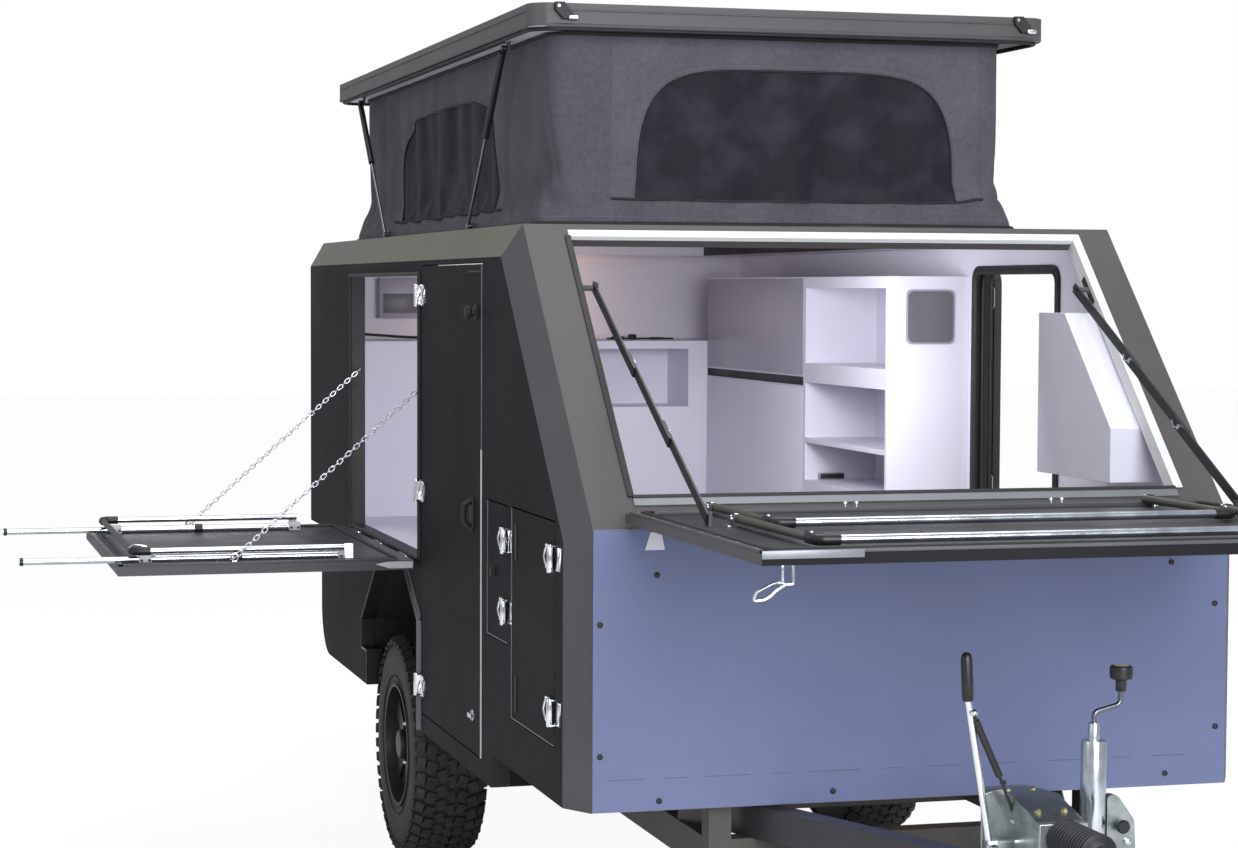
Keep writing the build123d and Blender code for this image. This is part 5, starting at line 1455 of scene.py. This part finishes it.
painted(frame_black, "chassis", "axle")
beam_steel = surface("beam_steel", (0.02, 0.021, 0.03), 0.33, metallic=0.2, mottle=0.15, patch=0.12,
                     bump=0.25, dust=0.3)
painted(beam_steel, "drawbar")
hitch_bolts = [at(x, y, 0.5755)
               for x, y in ((-0.062, -0.76), (0.062, -0.76), (-0.062, -0.72), (0.062, -0.72))]
screws("drawbar_bolts", hitch_bolts, 0.008, 0.006, UPWARD, zinc, "trailer", sides=6)
eye = Piece("rear_lashing_eye")
eye.tube(rounded([at(-0.9, 3.31, 0.595), at(-0.9, 3.31, 0.52), at(-0.9, 3.4, 0.52), at(-0.9, 3.4, 0.595)],
                 0.025, 5, closed=False), 0.005, chrome, 10)
eye.done("trailer", "zinc")


# ---- wheels --------------------------------------------------------------------------------------------
# All-terrain tyres on black steel rims: a moulded carcass, five rows of staggered blocks with grooves
# between, and biting blocks on the shoulders. Domed nuts on studs hold the rims.

tyre_rubber = surface("tyre_rubber", (0.021, 0.021, 0.025), 0.6, mottle=0.22, patch=0.06, grain=0.003,
                      bump=0.35, dust=0.25)
rim_black = surface("rim_black", (0.01, 0.01, 0.012), 0.38, mottle=0.2, patch=0.08, grain=0.003, bump=0.2,
                    dust=0.2)
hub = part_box("tyre_left")
hub_y, hub_z = (hub[0].y + hub[1].y) / 2, (hub[0].z + hub[1].z) / 2
tyre_r, tread_depth, tyre_mid, rim_r, rim_disc = 0.3735, 0.01, 0.778, 0.205, 0.851


def ring(piece, centre, profile, material, sides=96):
    """A ring about the wheels' axis from a closed (radius, offset) outline."""
    count = len(profile)
    corners, rings = [], []
    for k in range(sides):
        angle = 2 * pi * k / sides
        corners += [centre + Vector((offset, radius * cos(angle), radius * sin(angle)))
                    for radius, offset in profile]
    for k in range(sides):
        base, after = k * count, (k + 1) % sides * count
        rings += [(base + j, base + (j + 1) % count, after + (j + 1) % count, after + j)
                  for j in range(count)]
    points = piece.faces(corners, rings, material)
    bmesh.ops.recalc_face_normals(piece.work, faces=list({f for p in points for f in p.link_faces}))


def tread_tree(rows):
    """Rows of blocks round a tyre: each has its offset, width, length, skew, tilt, height lost and phase."""
    tree, given, made = growing_tree("tyre_tread", ("Centre", "Vector"), ("Radius", "Float"),
                                     ("Depth", "Float"), ("Count", "Int"))
    new, link = tree.nodes.new, tree.links.new
    joined, spots = new("GeometryNodeJoinGeometry"), new("GeometryNodePoints")
    number = new("GeometryNodeInputIndex")
    link(given.outputs["Count"], spots.inputs["Count"])
    link(given.outputs["Centre"], spots.inputs["Position"])
    step = maths(tree, "DIVIDE", 2 * pi, given.outputs["Count"])
    for offset, wide, long, skew, tilt, lost, phase in rows:
        angle = maths(tree, "MULTIPLY", maths(tree, "ADD", number.outputs[0], phase), step)
        about = new("FunctionNodeAxisAngleToRotation")
        about.inputs["Axis"].default_value = (1, 0, 0)
        link(angle, about.inputs["Angle"])
        lug, size, place, put = (new("GeometryNodeMeshCube"), new("ShaderNodeCombineXYZ"),
                                 new("GeometryNodeTransform"), new("GeometryNodeInstanceOnPoints"))
        size.inputs["X"].default_value, size.inputs["Y"].default_value = wide, long
        link(given.outputs["Depth"], size.inputs["Z"])
        link(size.outputs[0], lug.inputs["Size"])
        spot_at = new("ShaderNodeCombineXYZ")
        spot_at.inputs["X"].default_value = offset
        link(maths(tree, "SUBTRACT", given.outputs["Radius"], lost), spot_at.inputs["Z"])
        link(lug.outputs["Mesh"], place.inputs["Geometry"])
        link(spot_at.outputs[0], place.inputs["Translation"])
        place.inputs["Rotation"].default_value = (0, tilt, skew)
        link(spots.outputs[0], put.inputs["Points"])
        link(place.outputs[0], put.inputs["Instance"])
        link(about.outputs[0], put.inputs["Rotation"])
        link(put.outputs[0], joined.inputs[0])
    return end_tree(tree, given, made, joined.outputs[0])


# shoulder, outer, inner and side blocks of each half, then the middle row
tread_rows = []
for side in (-1, 1):
    tread_rows += [(side * 0.104, 0.03, 0.034, side * 0.12, side * 0.5, 0.0105, 0.25 + side * 0.25),
                   (side * 0.0715, 0.034, 0.037, side * 0.3, 0, 0.0055, 0.5 + side * 0.2),
                   (side * 0.034, 0.03, 0.04, side * -0.35, 0, 0.005, 0.1 + side * 0.2),
                   (side * 0.119, 0.012, 0.03, 0, side * 1.2, 0.03, 0.25 + side * 0.25)]
tread_rows.append((0, 0.024, 0.042, 0.25, 0, 0.005, 0.3))
tread = tread_tree(tread_rows)
blocks_round, spokes, spoke_inner, spoke_outer, stud_circle = 44, 5, 0.06, 0.185, 0.07
carcass_half = [(rim_r - 0.002, 0.098), (0.215, 0.112), (0.25, 0.12), (0.29, 0.1225), (0.32, 0.12),
                (0.342, 0.114), (0.356, 0.102), (0.3625, 0.088), (0.3635, 0.055), (0.3635, 0.053),
                (0.3635, 0.0)]
for hand, side in (("left", -1), ("right", 1)):
    hub_at = Vector((middle + side * tyre_mid, hub_y, hub_z))
    carcass = Piece(f"tyre_{hand}_carcass")
    outline = carcass_half + [(radius, -offset) for radius, offset in carcass_half[-2::-1]]
    ring(carcass, hub_at, outline, tyre_rubber)
    for radius in (0.235, 0.262):
        for offset in (-1, 1):
            band = [(radius - 0.002, offset * 0.117), (radius, offset * 0.1215),
                    (radius + 0.002, offset * 0.1185)]
            ring(carcass, hub_at, band, tyre_rubber)
    carcass.done(f"wheel_{hand}", "rubber", f"tyre_{hand}", smooth=50)
    tread_sizes = {"Centre": tuple(hub_at), "Radius": tyre_r, "Depth": tread_depth, "Count": blocks_round,
                   "Material": tyre_rubber}
    lugs = grown(f"tyre_{hand}_tread", tread, [(0, 0, 0)], tread_sizes)
    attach(lugs, f"wheel_{hand}")
    painted(rim_black, f"rim_{hand}")
    disc_x = middle + side * rim_disc
    wheel_parts = Piece(f"rim_{hand}_parts")
    lip = [(0.203, side * 0.105), (0.208, side * 0.113), (0.213, side * 0.114), (0.212, side * 0.105)]
    ring(wheel_parts, hub_at, lip, rim_black, 72)
    wheel_parts.turned((disc_x, hub_y, hub_z), (side, 0, 0),
                       ((0.05, 0), (0.05, 0.03), (0.045, 0.038), (0.0, 0.04)), rim_black, 32)
    for k in range(spokes):
        angle = 2 * pi * (k + 0.5) / spokes
        way, beside = Vector((0, cos(angle), sin(angle))), Vector((0, -sin(angle), cos(angle)))
        foot = Vector((disc_x, hub_y, hub_z))
        spoke = [foot + way * spoke_inner - beside * 0.028, foot + way * spoke_outer - beside * 0.04,
                 foot + way * spoke_outer + beside * 0.04, foot + way * spoke_inner + beside * 0.028]
        wheel_parts.slab(spoke, (side * 0.012, 0, 0), rim_black)
    wheel_parts.done(f"wheel_{hand}", "black_steel", bevel=0.003)
    studs = []
    for k in range(spokes):
        angle = 2 * pi * k / spokes
        studs.append((disc_x + side * 0.0005, hub_y + stud_circle * cos(angle),
                      hub_z + stud_circle * sin(angle)))
    screws(f"wheel_{hand}_nuts", studs, 0.0105, 0.016, RIGHTWARD if side > 0 else LEFTWARD, zinc,
           f"wheel_{hand}", sides=6)


# ---- coupling, handbrake and bellows -------------------------------------------------------------------
# A cast overrun housing, zinc plated, bolted to the drawbar's nose. Its shaft runs forward through ribbed
# rubber bellows to the ball coupling. The handbrake is a bright bar with a dipped grip and a gas spring.

cast_zinc = surface("cast_zinc", (0.32, 0.35, 0.34), 0.34, metallic=0.85, mottle=0.3, patch=0.05, grain=0.004,
                    bump=0.45)
yellow_zinc = surface("yellow_zinc", (0.62, 0.56, 0.26), 0.3, metallic=1.0, mottle=0.2, patch=0.01, bump=0.1)
grip_rubber = surface("grip_rubber", (0.01, 0.01, 0.011), 0.35, mottle=0.15, patch=0.03, grain=0.002,
                      bump=0.3)
dressed("coupling", [cast_zinc], lambda normal, centre: 0, bevel=0.005, segments=3)
cover = Piece("coupling_cover")
nose_y, brake_y, cover_half = -0.83, -0.7, 0.058
top_line = ((0.30, 0.672), (0.30, 0.715), (0.12, 0.728), (-0.02, 0.69), (-0.02, 0.672))
cover.slab([at(-cover_half, nose_y + b, z) for b, z in top_line], (2 * cover_half, 0, 0), cast_zinc)
ear_line = ((-0.118, 0.585), (-0.118, 0.728), (-0.055, 0.74), (-0.03, 0.69), (-0.03, 0.585))
cover.slab(rounded([at(x, brake_y + 0.03, z) for x, z in ear_line], 0.022, 4), (0, 0.007, 0), cast_zinc)
cover.block(at(-0.062, nose_y - 0.034, 0.57), at(0.062, nose_y - 0.02, 0.69), cast_zinc)
cover.done("trailer", "zinc", bevel=0.004)
cover_bolts = [at(-0.035, nose_y + 0.03, 0.704), at(0.03, nose_y + 0.03, 0.704),
               at(-0.035, nose_y + 0.2, 0.722), at(0.03, nose_y + 0.2, 0.722)]
screws("coupling_bolts", cover_bolts, 0.0085, 0.007, UPWARD, yellow_zinc, "trailer", sides=6)

shaft_z, rib_step, rib_low, rib_high = 0.655, 0.014, 0.034, 0.045
ribs = Piece("bellows_ribs")
profile = [(0.036, 0.0)]
for k in range(13):
    start = rib_step * k
    profile += [(rib_low, start + 0.001), (rib_high, start + 0.006), (rib_high, start + 0.009),
                (rib_low, start + rib_step)]
ribs.turned(at(0, nose_y - 0.034, shaft_z), (0, -1, 0), profile + [(0.026, 0.19)], seal_black, 32)
ribs.done("trailer", "rubber", "bellows", smooth=50)

foot, grip_low, grip_top_at = (-0.109, 0.606), (-0.168, 0.950), (-0.173, 1.054)
strut_head, tube_end, rod_end = (-0.16, 0.925), (-0.089, 0.771), (-0.047, 0.668)
brake = Piece("handbrake_parts")
brake.rod(at(foot[0], brake_y, foot[1]), at(grip_low[0], brake_y, grip_low[1] + 0.004), 0.0085, chrome, 20)
grip_way = Vector((grip_top_at[0] - grip_low[0], 0, grip_top_at[1] - grip_low[1]))
grip_profile = ((0.0115, 0), (0.0135, 0.003), (0.014, 0.05), (0.0135, 0.1), (0.011, 0.1085), (0.006, 0.113),
                (0.0, 0.1145))
brake.turned(at(grip_low[0], brake_y, grip_low[1]), grip_way, grip_profile, grip_rubber, 24)
strut_way = Vector((tube_end[0] - strut_head[0], 0, tube_end[1] - strut_head[1]))
brake.turned(at(strut_head[0], brake_y - 0.012, strut_head[1]), (0, -1, 0),
             ((0.006, -0.02), (0.009, 0), (0.0095, 0.006), (0.006, 0.012), (0.0, 0.014)), chrome, 16)
spring_y = brake_y - 0.006
spring_tube = ((0.005, 0.008), (0.005, 0.02), (0.0085, 0.022), (0.0085, strut_way.length - 0.002),
               (0.006, strut_way.length))
brake.turned(at(strut_head[0], spring_y, strut_head[1]), strut_way, spring_tube, strut_black, 18)
brake.rod(at(tube_end[0], spring_y, tube_end[1]), at(rod_end[0], spring_y, rod_end[1]), 0.0038, strut_black,
          10)
brake.turned(at(rod_end[0], brake_y + 0.004, rod_end[1] - 0.004), (0, -1, 0),
             ((0.007, -0.02), (0.009, 0.008), (0.009, 0.016), (0.005, 0.02)), chrome, 16)
brake.block(at(-0.122, brake_y - 0.02, 0.58), at(-0.05, brake_y + 0.02, 0.625), cast_zinc, edge=0.006)
brake.turned(at(foot[0], brake_y - 0.02, foot[1]), (0, -1, 0), ((0.011, 0), (0.011, 0.005), (0.006, 0.01)),
             zinc, 16)
brake.done("trailer", "zinc", "handbrake_lever", smooth=45)


# ---- jockey wheel --------------------------------------------------------------------------------------
# A bright outer tube in a clamp on the drawbar, an inner tube with a fork and a rubber wheel, and a crank of
# bent bar on top with a black knob that has a pale cap.

crank_steel = surface("crank_steel", (0.16, 0.17, 0.2), 0.25, metallic=0.9, mottle=0.12, patch=0.04, bump=0.1)
pale_cap = surface("pale_cap", (0.5, 0.45, 0.3), 0.4, mottle=0.1, patch=0.02)
jockey_x, jockey_y, tube_top = 0.141, -0.72, 0.85
knob_x = jockey_x + 0.068
jack = Piece("jockey_tube_parts")
jack.turned(at(jockey_x, jockey_y, 0.3), (0, 0, 1),
            ((0.028, 0), (0.03, 0.002), (0.03, 0.545), (0.0285, 0.55), (0.014, 0.5505), (0.0135, 0.588),
             (0.0115, 0.592), (0.006, 0.593)), bright_tube, 36)
crank = rounded([at(jockey_x, jockey_y, tube_top + 0.04), at(jockey_x, jockey_y, tube_top + 0.066),
                 at(jockey_x + 0.066, jockey_y, tube_top + 0.082), at(knob_x, jockey_y, tube_top + 0.118)],
                0.012, 5, closed=False)
jack.tube(crank, 0.0062, crank_steel, 14)
jack.turned(at(knob_x, jockey_y, tube_top + 0.113), (0, 0, 1),
            ((0.0115, 0), (0.013, 0.002), (0.013, 0.026), (0.022, 0.028), (0.0265, 0.031), (0.0275, 0.045),
             (0.0265, 0.058), (0.022, 0.0605)), grip_rubber, 28)
jack.turned(at(knob_x, jockey_y, tube_top + 0.1732), (0, 0, 1),
            ((0.018, 0), (0.018, 0.0008), (0.012, 0.0014)), pale_cap, 24)
seat_z, clamp_half = 0.5752, 0.014
clamp_y = jockey_y - clamp_half
jack.block(at(jockey_x - 0.06, jockey_y - 0.02, seat_z), at(jockey_x - 0.031, jockey_y + 0.02, 0.605),
           cast_zinc, edge=0.004)
plate_line = ((0.03, seat_z), (0.03, 0.72), (0.055, 0.722), (0.1, 0.66), (0.104, seat_z))
plate = [at(jockey_x + a, clamp_y, z) for a, z in plate_line]
jack.slab(rounded(plate, 0.012, 4), (0, 2 * clamp_half, 0), cast_zinc)
jack.turned(at(jockey_x + 0.06, clamp_y, 0.65), (0, -1, 0),
            ((0.006, 0), (0.006, 0.012), (0.015, 0.014), (0.0165, 0.026), (0.014, 0.03)), grip_rubber, 20)
jack.turned(at(jockey_x + 0.082, clamp_y, 0.61), (0, -1, 0), ((0.009, 0), (0.009, 0.006), (0.005, 0.009)),
            zinc, 16)
jack.done("trailer", "zinc", "jockey_tube", smooth=45)
painted(zinc, "jockey_fork")
painted(bright_tube, "jockey_leg")
painted(seal_black, "jockey_wheel")


# ---- plate, latch and marks on the front ---------------------------------------------------------------
# A blank white plate is stuck near the bend, a wire latch hangs from the flap's lip, and the front panel
# has a line of shallow scuffs where things have leaned on it.

label_white = surface("label_white", (0.72, 0.72, 0.78), 0.4, mottle=0.05, patch=0.05)
marks = Piece("front_plate_and_marks")
plate_line = ((-0.742, 1.2455), (-0.69, 1.2455), (-0.70, 1.29), (-0.728, 1.29))
marks.slab([at(x, -0.0003, z) for x, z in plate_line], (0, -0.0025, 0), label_white)
scuff = surface("scuff", (0.075, 0.085, 0.125), 0.5, mottle=0.3, patch=0.02)
scuff_low, scuff_high = 0.666, 0.6676
for start, long in ((-0.84, 0.1), (-0.69, 0.06), (-0.58, 0.12), (-0.4, 0.05), (-0.3, 0.14), (-0.1, 0.05),
                    (0.02, 0.1), (0.2, 0.08), (0.36, 0.12), (0.55, 0.05), (0.66, 0.1)):
    marks.block(at(start, -0.0001, scuff_low), at(start + long, -0.0005, scuff_high), scuff)
marks.done("trailer", "body_dark")
latch = Piece("front_flap_latch")
latch_y = -0.985
latch.block(at(-0.726, latch_y - 0.012, 1.31), at(-0.696, latch_y + 0.012, 1.3135), chrome, edge=0.001)
latch.tube(rounded([at(-0.723, latch_y, 1.309), at(-0.699, latch_y, 1.309), at(-0.699, latch_y, 1.266),
                    at(-0.723, latch_y, 1.266)], 0.004, 3), 0.003, chrome, 8, closed=True)
pull = ((-0.712, 1.268), (-0.74, 1.272), (-0.785, 1.25), (-0.79, 1.232), (-0.76, 1.234), (-0.735, 1.256))
latch.tube(rounded([at(x, latch_y - 0.002, z) for x, z in pull], 0.014, 5), 0.0035, zinc, 8, closed=True)
latch.done("front_flap", "zinc")


# ---- lamps and number plate of the rear ----------------------------------------------------------------
# Combination lamps with red and amber lenses in black frames, and a blank number plate in its holder, are
# screwed to the skirt under the rear ledge.

lens_red = surface("lens_red", (0.32, 0.012, 0.01), 0.14, mottle=0.06, patch=0.02, grain=0.004, bump=0.3)
lens_amber = surface("lens_amber", (0.55, 0.19, 0.015), 0.14, mottle=0.06, patch=0.02, grain=0.004, bump=0.3)
skirt_y, lamp_z, lamp_tall, lens_in = 3.808, 0.76, 0.085, 0.005
lamps = Piece("rear_lamps")
for side in (-1, 1):
    lamps.block(at(side * 0.57, skirt_y, lamp_z), at(side * 0.82, skirt_y + 0.012, lamp_z + lamp_tall),
                seal_black, edge=0.003)
    for inner, outer, lens in ((0.575, 0.655, lens_red), (0.657, 0.735, lens_red),
                               (0.737, 0.815, lens_amber)):
        lamps.block(at(side * inner, skirt_y + 0.01, lamp_z + lens_in),
                    at(side * outer, skirt_y + 0.03, lamp_z + lamp_tall - lens_in), lens, edge=0.005)
lamps.block(at(-0.265, skirt_y, 0.655), at(0.265, skirt_y + 0.005, 0.775), seal_black, edge=0.002)
lamps.block(at(-0.26, skirt_y + 0.004, 0.66), at(0.26, skirt_y + 0.0065, 0.77), label_white, edge=0.001)
lamps.done("trailer", "black_plastic")
